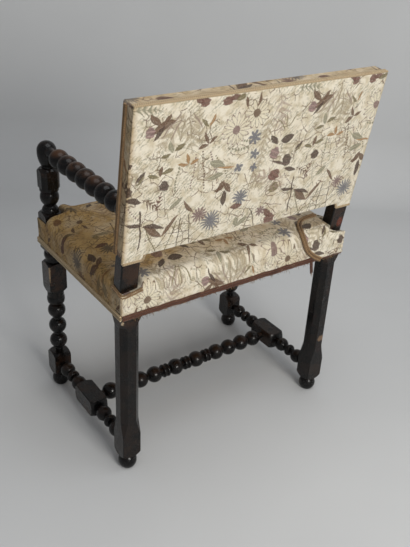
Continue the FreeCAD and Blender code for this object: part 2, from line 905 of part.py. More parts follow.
def seat_gimp_end(side):
    near = side * (outer_y + 2 * soft_gap + cover_thickness)
    reach_x = outer_x + soft_gap + cover_thickness
    low = V(-reach_x, near, seat_cover_bottom - gimp_thickness)
    return box(low, V(reach_x, near + side * gimp_thickness, seat_cover_bottom + gimp_width))


def cut_mortises(post):
    """Cut the mortises of the seat and back rails and the peg holes into a rear or front post."""
    tools = [end_rail(-1, joint_gap), end_rail(1, joint_gap), side_rail(joint_gap)]
    tools.append(back_rail(back_top_rail_base(), back_top_rail_height, joint_gap))
    tools.append(back_rail(back_bottom_rail_base, back_bottom_rail_height, joint_gap))
    return post.cut(tools + pegs(joint_gap))


def make_nodes():
    holes = pegs(joint_gap)
    nodes = {}
    left_pieces = {
        "front_post": cut_mortises(front_post()),
        "rear_post": cut_mortises(rear_post()),
        "arm": arm(),
        "side_stretcher": side_stretcher(),
        "seat_rail": side_rail().cut(holes),
        "seat_gimp": seat_gimp_side(),
        "back_gimp": back_gimp_side(),
    }
    for name, piece in left_pieces.items():
        nodes[name + "_left"] = piece
        nodes[name + "_right"] = mirrored(piece)
    nodes["cross_stretcher"] = cross_stretcher()
    nodes["seat_rail_front"] = end_rail(-1).cut(holes)
    nodes["seat_rail_rear"] = end_rail(1).cut(holes)
    nodes["back_top_rail"] = back_rail(back_top_rail_base(), back_top_rail_height).cut(holes)
    nodes["back_bottom_rail"] = back_rail(back_bottom_rail_base, back_bottom_rail_height).cut(holes)
    nodes["frame_pegs"] = Part.makeCompound(pegs(0))
    nodes["seat_webbing"] = seat_webbing()
    nodes["seat_hessian"] = seat_hessian()
    nodes["seat_stuffing"] = seat_stuffing()
    nodes["seat_cover"] = seat_cover()
    nodes["seat_gimp_front"] = seat_gimp_end(-1)
    nodes["seat_braid_rear"] = seat_gimp_end(1)
    nodes["back_webbing"] = back_webbing()
    nodes["back_hessian"] = back_hessian()
    nodes["back_stuffing"] = back_stuffing()
    nodes["back_front_cover"] = back_front_cover()
    nodes["back_outside_cover"] = back_outside_cover()
    nodes["back_gimp_top"] = back_gimp_top()
    nodes["back_gimp_bottom"] = back_gimp_bottom()
    return nodes


def place_on_origin(nodes):
    """Move the chair so that the origin is the middle of its box, on the floor."""
    whole = Part.makeCompound(list(nodes.values())).optimalBoundingBox(False, False)
    shift = V(0, -(whole.YMin + whole.YMax) / 2, 0)
    for shape in nodes.values():
        shape.translate(shift)
    return shift, whole


def main():
    os.makedirs("parts", exist_ok=True)
    nodes = make_nodes()
    shift, whole = place_on_origin(nodes)
    for name, shape in nodes.items():
        shape.exportStep("parts/" + name + ".step")
        print(name, "solids", len(shape.Solids), "valid", shape.isValid(), "volume", round(shape.Volume))
    print("shift in Y", round(shift.y, 3), "arm height", round(arm_height, 2))
    print("size", round(whole.XLength, 2), round(whole.YLength, 2), round(whole.ZLength, 2))


main()
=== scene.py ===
import math
import random

import bpy
import numpy as np
from mathutils import Matrix, Vector


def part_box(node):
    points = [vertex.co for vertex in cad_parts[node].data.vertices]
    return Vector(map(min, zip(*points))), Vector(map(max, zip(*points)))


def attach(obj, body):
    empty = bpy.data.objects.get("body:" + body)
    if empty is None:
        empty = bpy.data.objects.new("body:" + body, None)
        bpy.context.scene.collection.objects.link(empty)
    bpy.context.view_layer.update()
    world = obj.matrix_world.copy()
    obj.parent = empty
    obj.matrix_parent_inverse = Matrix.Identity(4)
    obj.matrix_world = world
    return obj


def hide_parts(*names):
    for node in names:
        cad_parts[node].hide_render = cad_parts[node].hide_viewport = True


# Upholstered armchair with a bobbin-turned frame: its cloth, braids, wood finish and studio.
# Lengths are in metres. The frame is loaded here, so that the sizes can come from it.

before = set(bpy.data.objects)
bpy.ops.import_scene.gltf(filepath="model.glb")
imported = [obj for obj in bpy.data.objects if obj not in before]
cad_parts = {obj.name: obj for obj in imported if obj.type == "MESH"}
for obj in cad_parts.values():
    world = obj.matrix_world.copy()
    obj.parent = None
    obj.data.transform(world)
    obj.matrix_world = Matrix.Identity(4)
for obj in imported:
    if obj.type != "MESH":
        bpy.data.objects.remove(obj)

bl_info = {
    "name": "Bobbin-turned Armchair Dressing",
    "version": (1, 0, 0),
    "blender": (4, 5, 0),
    "location": "3D View > Sidebar > Armchair",
    "description": "Upholstery, braids, wood finish and studio for a bobbin-turned armchair",
    "category": "Object",
}


def middle_and_half(node):
    low, high = (np.array(corner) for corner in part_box(node))
    return (low + high) / 2, (high - low) / 2


CROSS_MIDDLE, CROSS_HALF = middle_and_half("cross_stretcher")
CHAIR_Y = float(CROSS_MIDDLE[1])
POST_MIDDLE, POST_HALF = middle_and_half("front_post_left")
POST_X = float(POST_MIDDLE[0])
POST_Y = abs(float(POST_MIDDLE[1]) - CHAIR_Y)
POST_SIDE = 2 * float(POST_HALF[0])
OUTER_X = POST_X + POST_SIDE / 2
OUTER_Y = POST_Y + POST_SIDE / 2
RAIL_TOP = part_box("seat_rail_left")[1][2]
SEAT_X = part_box("seat_cover")[1][0]
SEAT_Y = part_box("seat_cover")[1][1] - CHAIR_Y
SEAT_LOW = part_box("seat_cover")[0][2]
SEAT_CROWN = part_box("seat_cover")[1][2]
BACK_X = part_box("back_front_cover")[1][0]
RAKE = math.radians(8.47)
STILE_BACK = OUTER_Y - 0.009
LEG_TOP = RAIL_TOP + 0.005
BACK_LOW = 0.0900
BACK_HIGH = 0.3990
STILE_WIDTH = 0.0435
STILE_REAR = STILE_BACK + CHAIR_Y - LEG_TOP * math.tan(RAKE)
HESSIAN_MARGIN = 0.014
WEB_THICK = 0.0017


class ArmchairSizes(bpy.types.PropertyGroup):
    seat_dip: bpy.props.FloatProperty(
        name="Seat Dip",
        description="How far use has pressed the middle of the seat down",
        default=0.006, min=0.0, max=0.02, unit="LENGTH",
    )
    gimp_width: bpy.props.FloatProperty(
        name="Gimp Width",
        description="Width of the double cord along the cloth's edges",
        default=0.013, min=0.006, max=0.02, unit="LENGTH",
    )
    gimp_height: bpy.props.FloatProperty(
        name="Gimp Height",
        description="How far the double cord stands off the cloth",
        default=0.0032, min=0.001, max=0.006, unit="LENGTH",
    )
    twist_pitch: bpy.props.FloatProperty(
        name="Twist Pitch",
        description="Length of one turn of the cord's strands",
        default=0.0042, min=0.002, max=0.01, unit="LENGTH",
    )
    web_width: bpy.props.FloatProperty(
        name="Web Width",
        description="Width of the woven jute webs",
        default=0.050, min=0.03, max=0.07, unit="LENGTH",
    )


def srgb(red, green, blue):
    """A colour written from 0 to 255, as a linear one."""
    out = []
    for part in (red, green, blue):
        part /= 255
        out.append(part / 12.92 if part <= 0.04045 else ((part + 0.055) / 1.055) ** 2.4)
    return (*out, 1.0)


def colour_property(name, description, red, green, blue):
    """A colour that a user can change, given from 0 to 255."""
    return bpy.props.FloatVectorProperty(
        name=name, description=description, default=srgb(red, green, blue)[:3], subtype="COLOR", min=0.0, max=1.0,
    )


class ArmchairColours(bpy.types.PropertyGroup):
    cloth_ground: colour_property("Cloth Ground", "Colour of the cloth between its flowers", 230, 222, 204)
    cloth_shade: colour_property("Cloth Shade", "Darker colour that clouds the ground", 208, 196, 170)
    wood_dark: colour_property("Wood Dark", "Darker colour of the ebonised wood", 6, 6, 6)
    wood_light: colour_property("Wood Light", "Lighter colour of the ebonised wood's grain", 12, 10, 9)
    # The light and dark colours of each cord and of the braid are blended along the twist as painted shading of the
    # strands; the frayed ends use two of them as plain thread tones.
    gimp_light: colour_property("Gimp Light", "Lighter strand of the beige cord", 196, 178, 144)
    gimp_dark: colour_property("Gimp Dark", "Darker strand of the beige cord", 124, 98, 70)
    cord_light: colour_property("Brown Cord Light", "Lighter strand of the brown cord", 158, 128, 90)
    cord_dark: colour_property("Brown Cord Dark", "Darker strand of the brown cord", 84, 60, 40)
    braid_light: colour_property("Braid Light", "Lighter strand of the rust braid", 104, 66, 48)
    braid_dark: colour_property("Braid Dark", "Darker strand of the rust braid", 48, 26, 20)


class ArmchairStudio(bpy.types.PropertyGroup):
    focal_length: bpy.props.FloatProperty(
        name="Focal Length",
        description="Focal length of the camera on a sensor 36 mm wide",
        default=46.50, min=20.0, max=120.0,
    )
    camera_place: bpy.props.FloatVectorProperty(
        name="Camera Place",
        description="Where the camera stands, from the middle of the four posts",
        default=(0.87173, 1.25222, 1.20087), subtype="XYZ", unit="LENGTH",
    )
    camera_turn: bpy.props.FloatVectorProperty(
        name="Camera Turn",
        description="Azimuth, elevation and roll of the camera",
        default=(math.radians(143.7165), math.radians(29.3179), math.radians(3.1811)),
        subtype="EULER", unit="ROTATION",
    )
    floor_colour: bpy.props.FloatVectorProperty(
        name="Floor Colour",
        description="Colour of the plain floor",
        default=(0.585, 0.590, 0.590), subtype="COLOR", min=0.0, max=1.0,
    )


def sizes():
    return bpy.context.scene.armchair_sizes


def tints():
    return bpy.context.scene.armchair_colours


def studio():
    return bpy.context.scene.armchair_studio


def lean(x, deep, up):
    """A point of the upright back carried to its raked place. Arrays are fine."""
    y = STILE_BACK + deep * math.cos(RAKE) + up * math.sin(RAKE) + CHAIR_Y
    z = LEG_TOP - deep * math.sin(RAKE) + up * math.cos(RAKE)
    return np.stack(np.broadcast_arrays(x, y, z), axis=-1)


def stand(x, y, z):
    """A point measured from the middle of the four posts, in the chair's own frame."""
    return np.stack(np.broadcast_arrays(x, y + CHAIR_Y, z), axis=-1)


def lattice_noise(x, y, seed, octaves=3):
    """Smooth random values between about -1 and 1 at the points (x, y), which are in cells."""
    x, y = np.broadcast_arrays(np.asarray(x, float), np.asarray(y, float))
    total = np.zeros(x.shape)
    size = 1.0
    for octave in range(octaves):
        draw = np.random.default_rng(seed + octave)
        table = draw.uniform(-1, 1, (64, 64))
        column, row = np.floor(x * size).astype(int), np.floor(y * size).astype(int)
        across, along = x * size - column, y * size - row
        across, along = across * across * (3 - 2 * across), along * along * (3 - 2 * along)
        a, b = table[column % 64, row % 64], table[(column + 1) % 64, row % 64]
        c, d = table[column % 64, (row + 1) % 64], table[(column + 1) % 64, (row + 1) % 64]
        total += ((a * (1 - across) + b * across) * (1 - along) + (c * (1 - across) + d * across) * along) / size
        size *= 2
    return total


def ease(x):
    x = np.clip(x, 0, 1)
    return x * x * (3 - 2 * x)


def bump_at(x, y, middle, reach):
    return np.exp(-((x - middle[0]) / reach[0]) ** 2 - ((y - middle[1]) / reach[1]) ** 2)


def graded(reach, fine_from, fine, coarse):
    """Places from -reach to reach, close together beyond fine_from on each side."""
    inner = np.linspace(0, fine_from, max(2, int(round(fine_from / coarse)) + 1))
    outer = np.linspace(fine_from, reach, int(round((reach - fine_from) / fine)) + 1)[1:]
    half = np.concatenate([inner, outer])
    return np.concatenate([-half[:0:-1], half])


def new_object(name, points, faces, uvs=None, smooth=True):
    """A mesh object. uvs is one pair for each point, in metres of cloth or cord."""
    mesh = bpy.data.meshes.new(name)
    mesh.from_pydata([tuple(p) for p in np.asarray(points, float)], [], [tuple(int(i) for i in f) for f in faces])
    if uvs is not None:
        layer = mesh.uv_layers.new(name="cloth")
        corners = np.zeros(len(mesh.loops), dtype=np.int64)
        mesh.loops.foreach_get("vertex_index", corners)
        layer.data.foreach_set("uv", np.asarray(uvs, float)[corners].astype(np.float32).ravel())
    if smooth:
        mesh.polygons.foreach_set("use_smooth", np.ones(len(mesh.polygons), dtype=bool))
    mesh.update()
    made = bpy.data.objects.new(name, mesh)
    bpy.context.collection.objects.link(made)
    return made


def grid_faces(rows, columns, first=0, closed=False):
    """Quads over a grid of points that is stored row by row."""
    faces = []
    wide = columns if closed else columns - 1
    for row in range(rows - 1):
        for column in range(wide):
            a = first + row * columns + column
            b = first + row * columns + (column + 1) % columns
            faces.append((a, b, b + columns, a + columns))
    return faces


def edge_loop(rows, columns):
    """Indices of a grid's boundary, in order round it, starting at its first corner."""
    loop = list(range(columns))
    loop += [row * columns + columns - 1 for row in range(1, rows)]
    loop += [(rows - 1) * columns + column for column in range(columns - 2, -1, -1)]
    loop += [row * columns for row in range(rows - 2, 0, -1)]
    return np.array(loop)


def tray(name, across, along, height, wall, corner, place):
    """A crowned pad: a top of height(x, y) whose boundary goes down a wall and turns in.

    wall holds pairs (level, inset): the wall passes each level, inset from the outline by that
    much or by what the function inset(rim, level) gives, and the last one closes the form.
    place carries (x, y, level) to the chair's frame.
    """
    x, y = np.meshgrid(across, along)
    rows, columns = x.shape
    half_x, half_y = across[-1], along[-1]
    over_x, over_y = np.abs(x) - (half_x - corner), np.abs(y) - (half_y - corner)
    in_corner = (over_x > 0) & (over_y > 0)
    reach = np.hypot(np.maximum(over_x, 0), np.maximum(over_y, 0))
    shrink = np.where(in_corner, np.maximum(np.maximum(over_x, over_y), 1e-9) / np.maximum(reach, 1e-9), 1.0)
    px = np.where(in_corner, np.sign(x) * (half_x - corner + over_x * shrink), x)
    py = np.where(in_corner, np.sign(y) * (half_y - corner + over_y * shrink), y)
    level = height(px, py)
    points = [np.stack([px, py, level], -1).reshape(-1, 3)]
    uvs = [np.stack([px, py], -1).reshape(-1, 2)]
    faces = grid_faces(rows, columns)
    loop = edge_loop(rows, columns)
    rim = points[0][loop]
    steps = np.roll(rim, -1, 0) - np.roll(rim, 1, 0)
    outward = np.stack([steps[:, 1], -steps[:, 0]], -1)
    outward /= np.maximum(np.linalg.norm(outward, axis=1, keepdims=True), 1e-9)
    count = len(loop)
    start = rows * columns
    last = loop
    walked = np.zeros(count)
    before = rim.copy()
    for number, (low, inset) in enumerate(wall):
        inward = inset(rim, low) if callable(inset) else np.full(count, inset)
        ring = rim.copy()
        ring[:, :2] -= outward * inward[:, None]
        ring[:, 2] = np.minimum(low, rim[:, 2] - 0.0004 * (number + 1)) if number < len(wall) - 3 else low
        walked += np.linalg.norm(ring - before, axis=1)
        before = ring
        points.append(ring)
        uvs.append(rim[:, :2] + outward * walked[:, None])
        here = np.arange(start, start + count)
        for i in range(count):
            j = (i + 1) % count
            faces.append((last[j], last[i], here[i], here[j]))
        last = here
        start += count
    faces.append(tuple(last))
    flat = np.concatenate(points)
    return new_object(name, place(flat[:, 0], flat[:, 1], flat[:, 2]), faces, np.concatenate(uvs))


def shoulder_curve(distance, width, low, edge):
    """Height of a rounded shoulder at a distance in from the outline."""
    inside = np.clip(1 - distance / width, 0, 1)
    return low + (edge - low) * np.sqrt(np.clip(1 - inside ** 2, 0, 1))


def crown_curve(along, half, shoulder, low, edge, crown):
    """A shoulder, then one long arc over the middle."""
    distance = half - np.abs(along)
    reach = half - shoulder
    arc = edge + (crown - edge) * (1 - np.clip(np.abs(along) / reach, 0, 1) ** 2)
    return np.where(distance < shoulder, shoulder_curve(distance, shoulder, low, edge), arc)


def lower_of(a, b, blend):
    """The lower of two heights, with a rounded join."""
    mix = np.clip(0.5 + 0.5 * (b - a) / blend, 0, 1)
    return b * (1 - mix) + a * mix - blend * mix * (1 - mix)


def seat_height(x, y):
    """Height of the seat's cloth above the floor, with its dips, tucks and post openings."""
    start = RAIL_TOP + 0.005
    over = crown_curve(x, SEAT_X, 0.026, start, RAIL_TOP + 0.027, SEAT_CROWN)
    deep = crown_curve(y, SEAT_Y, 0.025, start, RAIL_TOP + 0.035, SEAT_CROWN + 0.006)
    high = lower_of(over, deep, 0.012)
    inner = ease((SEAT_X - np.abs(x)) / 0.05) * ease((SEAT_Y - np.abs(y)) / 0.05)
    high -= sizes().seat_dip * bump_at(x, y, (0.0, -0.02), (0.17, 0.12)) * inner
    high += 0.0026 * lattice_noise(x / 0.09 + 9, y / 0.09 + 9, 5, 2) * inner
    high += 0.0008 * lattice_noise(x / 0.03 + 3, y / 0.03 + 5, 8, 2) * inner
    for side in (-1, 1):
        for end in (-1, 1):
            into_x = np.minimum(side * x - (POST_X - POST_SIDE / 2), 0)
            into_y = np.minimum(end * y - (POST_Y - POST_SIDE / 2), 0)
            away = np.hypot(into_x, into_y)
            if end < 0:
                rise, floor = 0.012, RAIL_TOP + 0.0155
            else:
                rise, floor = 0.004, RAIL_TOP + 0.010
            swell = rise * np.exp(-((away - 0.014) / 0.016) ** 2)
            high = high + swell * ease(away / 0.006)
            held = floor + 0.006 * ease((POST_X + 0.02 - side * x) / 0.05)
            high = held + (high - held) * ease((away + 0.0012) / 0.0085)
    return high


def seat_wall_inset(rim, level):
    """How far the seat's upright side lies in from the outline, with pulls at the tacks."""
    x, y = rim[:, 0], rim[:, 1]
    along = np.where(np.abs(np.abs(y) - SEAT_Y) < 0.004, x, y)
    down = (RAIL_TOP - level) / (RAIL_TOP - SEAT_LOW)
    pulls = 0.0007 * (0.5 - 0.5 * np.cos(along * 2 * math.pi / 0.034)) * down ** 2
    waves = 0.0009 * lattice_noise(along / 0.05 + 7, down + x / 0.3 + 3, 21, 2)
    folds = np.zeros(len(x))
    for side in (-1, 1):
        for at, deep, wide in ((0.194, 0.0024, 0.0028), (0.183, 0.0016, 0.0022), (-0.196, 0.0018, 0.0024)):
            near = (np.sign(x) == side) & (np.abs(x) > SEAT_X - 0.004)
            folds += np.where(near, deep * np.exp(-((y - at) / wide) ** 2), 0)
    return np.clip(pulls + waves * 0.5 + 0.0006 + folds, 0.0, 0.0026)


# The cord round the leg patch: places x, and ways up the seat's rear wall and over its shoulder.
PATCH_EDGE = (
    (-0.2300, 0.420), (-0.1900, 0.444), (-0.1690, 0.480), (-0.1740, 0.506),
    (-0.1900, 0.530), (-0.2160, 0.546), (-0.2590, 0.550),
)
PATCH_LOW, PATCH_HIGH = 0.420, 0.546
SHOULDER_RISE = 0.0433


def over_the_rear(x, s):
    """The point of the seat's rear at a place x and a way s up its wall and over its shoulder."""
    x, s = np.broadcast_arrays(np.asarray(x, float), np.asarray(s, float))
    start = RAIL_TOP + 0.005
    turn = np.clip((s - start) / SHOULDER_RISE, 0, 1) * math.pi / 2
    inward = 0.025 * (1 - np.cos(turn)) + np.maximum(s - start - SHOULDER_RISE, 0)
    level = np.where(s > start, np.minimum(start + 0.030 * np.sin(turn), seat_height(x, SEAT_Y - inward) + 0.003), s)
    return inward, level


def patch_edge():
    """The curved line of the cord round the patch, with the directions away from the seat."""
    flat = np.array(PATCH_EDGE)
    step = np.linspace(0, 1, 7)
    fine = np.linspace(0, 1, 60)
    for _ in range(2):
        x, s = np.interp(fine, step, flat[:, 0]), np.interp(fine, step, flat[:, 1])
        smooth = np.ones(9) / 9
        x[4:-4], s[4:-4] = np.convolve(x, smooth, "valid"), np.convolve(s, smooth, "valid")
        flat, step = np.stack([x, s], -1), fine
    inward, level = over_the_rear(x, s)
    turn = np.clip((s - RAIL_TOP - 0.005) / SHOULDER_RISE, 0, 1) * math.pi / 2
    path = stand(x, SEAT_Y - inward + 0.0006 + 0.0022 * np.cos(turn), level + 0.0022 * np.sin(turn))
    return path, np.stack([0 * x, np.cos(turn), np.sin(turn)], -1)


def leg_patch():
    """The separate patch of cloth that wraps the rear right leg, stuffed and folded."""
    flat = np.array(PATCH_EDGE)
    rows, columns = 46, 50
    t, u = np.meshgrid(np.linspace(0, 1, rows), np.linspace(0, 1, columns), indexing="ij")
    way = np.linspace(PATCH_LOW, PATCH_HIGH, rows)
    inner = np.interp(way, flat[:6, 1], flat[:6, 0])[:, None] - 0.004
    outer = -SEAT_X - 0.0004
    x = inner + (outer - inner) * u
    over = np.clip((-(OUTER_X - STILE_WIDTH) - x) / STILE_WIDTH, 0, 1)
    top = PATCH_HIGH - 0.046 * ease(over * 5) - 0.022 * over
    s = 0.4195 + (top - 0.4195) * t
    inward, level = over_the_rear(x, s)
    stile = SEAT_Y - (STILE_BACK + np.maximum(level - LEG_TOP, 0) * math.tan(RAKE) + 0.0012)
    on_stile = (x < -(OUTER_X - 0.0425)) & (level > LEG_TOP + 0.004)
    inward = np.where(on_stile, np.minimum(inward, stile), inward)
    edge = np.minimum(np.minimum(u, 1 - u) * 0.12, np.minimum(t, 1 - t) * 0.10)
    bulge = 0.0052 * np.sqrt(np.clip(1 - (1 - np.clip(edge / 0.011, 0, 1)) ** 2, 0, 1))
    folds = 0.0013 * np.sin(s * 2 * math.pi / 0.0125 + 9 * u) * ease((u - 0.45) / 0.4) * ease(edge / 0.004)
    bulge = bulge + folds + 0.0009 * lattice_noise(x / 0.03 + 9, s / 0.025 + 3, 91, 2) * ease(edge / 0.006)
    lift = np.clip((s - RAIL_TOP - 0.005) / SHOULDER_RISE, 0, 1) * math.pi / 2
    front = stand(x, SEAT_Y - inward + 0.0006 + bulge * np.cos(lift), level + bulge * np.sin(lift)).reshape(-1, 3)
    under = stand(x, SEAT_Y - inward - 0.0006, level).reshape(-1, 3)
    faces = [tuple(reversed(f)) for f in grid_faces(rows, columns, len(front))] + grid_faces(rows, columns)
    loop = edge_loop(rows, columns)
    for i in range(len(loop)):
        j = (i + 1) % len(loop)
        faces.append((loop[j], loop[i], loop[i] + len(front), loop[j] + len(front)))
    uvs = np.stack([x, s], -1).reshape(-1, 2)
    return new_object("leg_patch", np.concatenate([front, under]), faces, np.concatenate([uvs, uvs]))


def back_depth(x, y):
    """Depth of the padded front of the back, from the plane of its back face."""
    half = (BACK_HIGH - BACK_LOW) / 2 + 0.003
    over = crown_curve(x, BACK_X, 0.020, 0.031, 0.0405, 0.0545)
    deep = crown_curve(y, half, 0.020, 0.031, 0.0405, 0.0545)
    out = lower_of(over, deep, 0.006)
    inner = ease((BACK_X - np.abs(x)) / 0.04) * ease((half - np.abs(y)) / 0.04)
    out += 0.0018 * lattice_noise(x / 0.08 + 4, y / 0.08 + 8, 31, 2) * inner
    arm_up = (0.649 - LEG_TOP) / math.cos(RAKE) - (BACK_LOW + BACK_HIGH) / 2
    for side in (-1, 1):
        away = np.hypot(x - side * POST_X, (y - arm_up))
        out = 0.0300 + (out - 0.0300) * ease((away - 0.0215) / 0.008)
    return out


def back_wall_inset(rim, level):
    x, y = rim[:, 0], rim[:, 1]
    along = np.where(np.abs(np.abs(x) - BACK_X) < 0.004, y, x)
    return np.clip(0.0006 + 0.0006 * lattice_noise(along / 0.03 + 5, level / 0.02 + 9, 41, 2), 0, 0.002)


def seat_cushion():
    across = graded(SEAT_X, 0.236, 0.0021, 0.0058)
    along = graded(SEAT_Y, 0.138, 0.0021, 0.0058)
    levels = np.linspace(RAIL_TOP, SEAT_LOW + 0.003, 8)
    wall = [(level, seat_wall_inset) for level in levels]
    wall += [(SEAT_LOW + 0.0008, 0.0007), (SEAT_LOW, 0.0018), (SEAT_LOW + 0.0012, 0.0027), (RAIL_TOP + 0.0065, 0.0027)]
    return tray("seat_cushion", across, along, seat_height, wall, 0.005, stand)


def back_cushion():
    half = (BACK_HIGH - BACK_LOW) / 2 + 0.003
    middle = (BACK_HIGH + BACK_LOW) / 2
    across = graded(BACK_X, 0.235, 0.0022, 0.0060)
    along = graded(half, half - 0.030, 0.0022, 0.0060)
    wall = [(level, back_wall_inset) for level in np.linspace(0.029, 0.004, 7)]
    wall += [(0.0022, 0.0012), (0.0008, 0.0030), (0.0004, 0.008), (0.0004, 0.012)]
    place = lambda x, y, deep: lean(x, -deep, middle + y)
    made = tray("back_cushion", across, along, back_depth, wall, 0.007, place)
    made.data.flip_normals()
    return made


def back_panel():
    """The tacked cloth over the back, with a short tab down each stile."""
    outer = np.linspace(0.245, BACK_X, 30)
    columns = np.concatenate([-outer[::-1], np.linspace(-0.239, 0.239, 80), outer])
    tab = ease((np.abs(columns) - 0.2555) / 0.006)
    low = BACK_LOW - 0.0005 - 0.0115 * tab
    low = low + 0.0008 * lattice_noise(columns / 0.03 + 5, columns * 0, 51, 2)
    corner = np.clip((np.abs(columns) - (BACK_X - 0.006)) / 0.006, 0, 1)
    low = low + 0.004 * corner ** 3
    high = np.full(len(columns), BACK_HIGH + 0.0025) - 0.002 * corner ** 3
    share = np.concatenate([np.linspace(0, 0.05, 8), np.linspace(0.07, 0.94, 52), np.linspace(0.955, 1, 7)])
    x = np.broadcast_to(columns, (len(share), len(columns)))
    up = low + (high - low) * share[:, None]
    edge = np.minimum(np.minimum(up - low, high - up), (BACK_X + 0.0004) - np.abs(x))
    roll = np.sqrt(np.clip(1 - (1 - np.clip(edge / 0.0026, 0, 1)) ** 2, 0, 1))
    inner = ease(edge / 0.03)
    deep = 0.0006 + 0.0026 * roll
    deep = deep + 0.0013 * lattice_noise(x / 0.07 + 3, up / 0.05 + 2, 61, 3) * inner
    pull = 0.0005 * np.cos(x * 2 * math.pi / 0.036) * np.exp(-np.minimum(high - up, up - low) / 0.012) * inner
    deep = deep + pull
    front = lean(x, deep, up).reshape(-1, 3)
    uvs = np.stack([x, up + 0 * x], -1).reshape(-1, 2)
    faces = grid_faces(len(share), len(columns))
    loop = edge_loop(len(share), len(columns))
    flat_x, flat_up = x.reshape(-1)[loop], np.broadcast_to(up, x.shape).reshape(-1)[loop]
    rim = lean(flat_x * 0.9995, np.full(len(loop), 0.0002), flat_up)
    start = len(front)
    here = np.arange(start, start + len(loop))
    for i in range(len(loop)):
        j = (i + 1) % len(loop)
        faces.append((loop[j], loop[i], here[i], here[j]))
    points = np.concatenate([front, rim])
    faces += [tuple(here[::-1])]
    made = new_object("back_panel", points, faces, np.concatenate([uvs, uvs[loop]]))
    made.data.flip_normals()
    return made


def resample(points, step):
    points = np.asarray(points, float)
    lengths = np.concatenate([[0], np.cumsum(np.linalg.norm(np.diff(points, axis=0), axis=1))])
    count = max(2, int(round(lengths[-1] / step)) + 1)
    at = np.linspace(0, lengths[-1], count)
    return np.stack([np.interp(at, lengths, points[:, k]) for k in range(3)], -1), at


def rounded_path(corners, radius, step=0.002):
    """A polyline whose corners are cut to short curves."""
    corners = [np.array(c, float) for c in corners]
    out = [corners[0]]
    for i in range(1, len(corners) - 1):
        before, here, after = corners[i - 1], corners[i], corners[i + 1]
        a = here + (before - here) / np.linalg.norm(before - here) * radius
        b = here + (after - here) / np.linalg.norm(after - here) * radius
        for t in np.linspace(0, 1, 9):
            out.append((1 - t) ** 2 * a + 2 * t * (1 - t) * here + t * t * b)
    out.append(corners[-1])
    return resample(out, step)[0]


def braid_mesh(name, path, normals, width, height, pitch, ropes=2, seed=1, loose=0.0):
    """A flat braid of twisted ropes that lies along a path, its back on the surface."""
    path, at = resample(path, pitch / 5)
    normals = np.asarray(normals, float)
    if normals.ndim == 1:
        normals = np.broadcast_to(normals, path.shape)
    else:
        share = np.linspace(0, 1, len(normals))
        here = np.linspace(0, 1, len(path))
        normals = np.stack([np.interp(here, share, normals[:, k]) for k in range(3)], -1)
    along = np.gradient(path, axis=0)
    along /= np.linalg.norm(along, axis=1, keepdims=True)
    side = np.cross(along, normals)
    side /= np.linalg.norm(side, axis=1, keepdims=True)
    up = np.cross(side, along)
    wander = loose * lattice_noise(at / 0.02 + seed, at * 0 + seed, seed, 2)
    turns = 9
    points, uvs, faces = [], [], []
    rope = width / ropes
    for number in range(ropes):
        middle = (number - (ropes - 1) / 2) * rope * 0.97
        phase = at[:, None] / pitch * 2 * math.pi * (1 if number % 2 else -1)
        angle = np.linspace(-0.25, math.pi + 0.25, turns)[None, :]
        swell = 1 + 0.16 * np.cos(2 * angle + phase) + 0.05 * np.cos(phase * 2 + angle)
        out = middle + wander[:, None] - np.cos(angle) * rope / 2 * swell * 1.03
        rise = np.sin(angle) * height * swell
        ring = path[:, None, :] + side[:, None, :] * out[..., None] + up[:, None, :] * rise[..., None]
        first = sum(len(p) for p in points)
        points.append(ring.reshape(-1, 3))
        across = np.broadcast_to(number + np.linspace(0, 1, turns)[None, :], (len(at), turns))
        uvs.append(np.stack([np.broadcast_to(at[:, None], (len(at), turns)), across], -1).reshape(-1, 2))
        faces += grid_faces(len(at), turns, first)
        for i in range(len(at) - 1):
            a, b = first + i * turns, first + (i + 1) * turns
            faces.append((a + turns - 1, a, b, b + turns - 1))
        faces.append(tuple(range(first + turns - 1, first - 1, -1)))
        end = first + (len(at) - 1) * turns
        faces.append(tuple(range(end, end + turns)))
    made = new_object(name, np.concatenate(points), faces, np.concatenate(uvs))
    made.data.flip_normals()
    return made


def loose_threads(name, path, normal, count, length, thick, seed, fall=0.5):
    """Frayed thread ends that stand off a path."""
    draw = random.Random(seed)
    path = np.asarray(path, float)
    points, faces = [], []
    up = np.array(normal, float) / np.linalg.norm(normal)
    for _ in range(count):
        place = draw.uniform(0, len(path) - 1.001)
        i = int(place)
        base = path[i] + (path[i + 1] - path[i]) * (place - i)
        step = path[i + 1] - path[i]
        step /= max(np.linalg.norm(step), 1e-9)
        side = np.cross(step, up)
        heading = up * draw.uniform(0.15, 1.0) + side * draw.uniform(-1, 1) + step * draw.uniform(-1.2, 1.2)
        heading /= np.linalg.norm(heading)
        bend = np.array([draw.uniform(-0.4, 0.4), draw.uniform(-0.4, 0.4), -fall])
        reach = length * draw.uniform(0.35, 1.0)
        first = len(points)
        joints = 5
        for joint in range(joints):
            t = joint / (joints - 1)
            centre = base + heading * reach * t + bend * reach * t * t * 0.6
            size = thick * (1 - 0.5 * t)
            for k in range(3):
                turn = k * 2 * math.pi / 3
                points.append(centre + (side * math.cos(turn) + np.cross(heading, side) * math.sin(turn)) * size)
        for joint in range(joints - 1):
            for k in range(3):
                a, b = first + joint * 3 + k, first + joint * 3 + (k + 1) % 3
                faces.append((a, b, b + 3, a + 3))
        faces.append((first + 2, first + 1, first))
        faces.append((first + joints * 3 - 3, first + joints * 3 - 2, first + joints * 3 - 1))
    return new_object(name, points, faces, np.zeros((len(points), 2)))


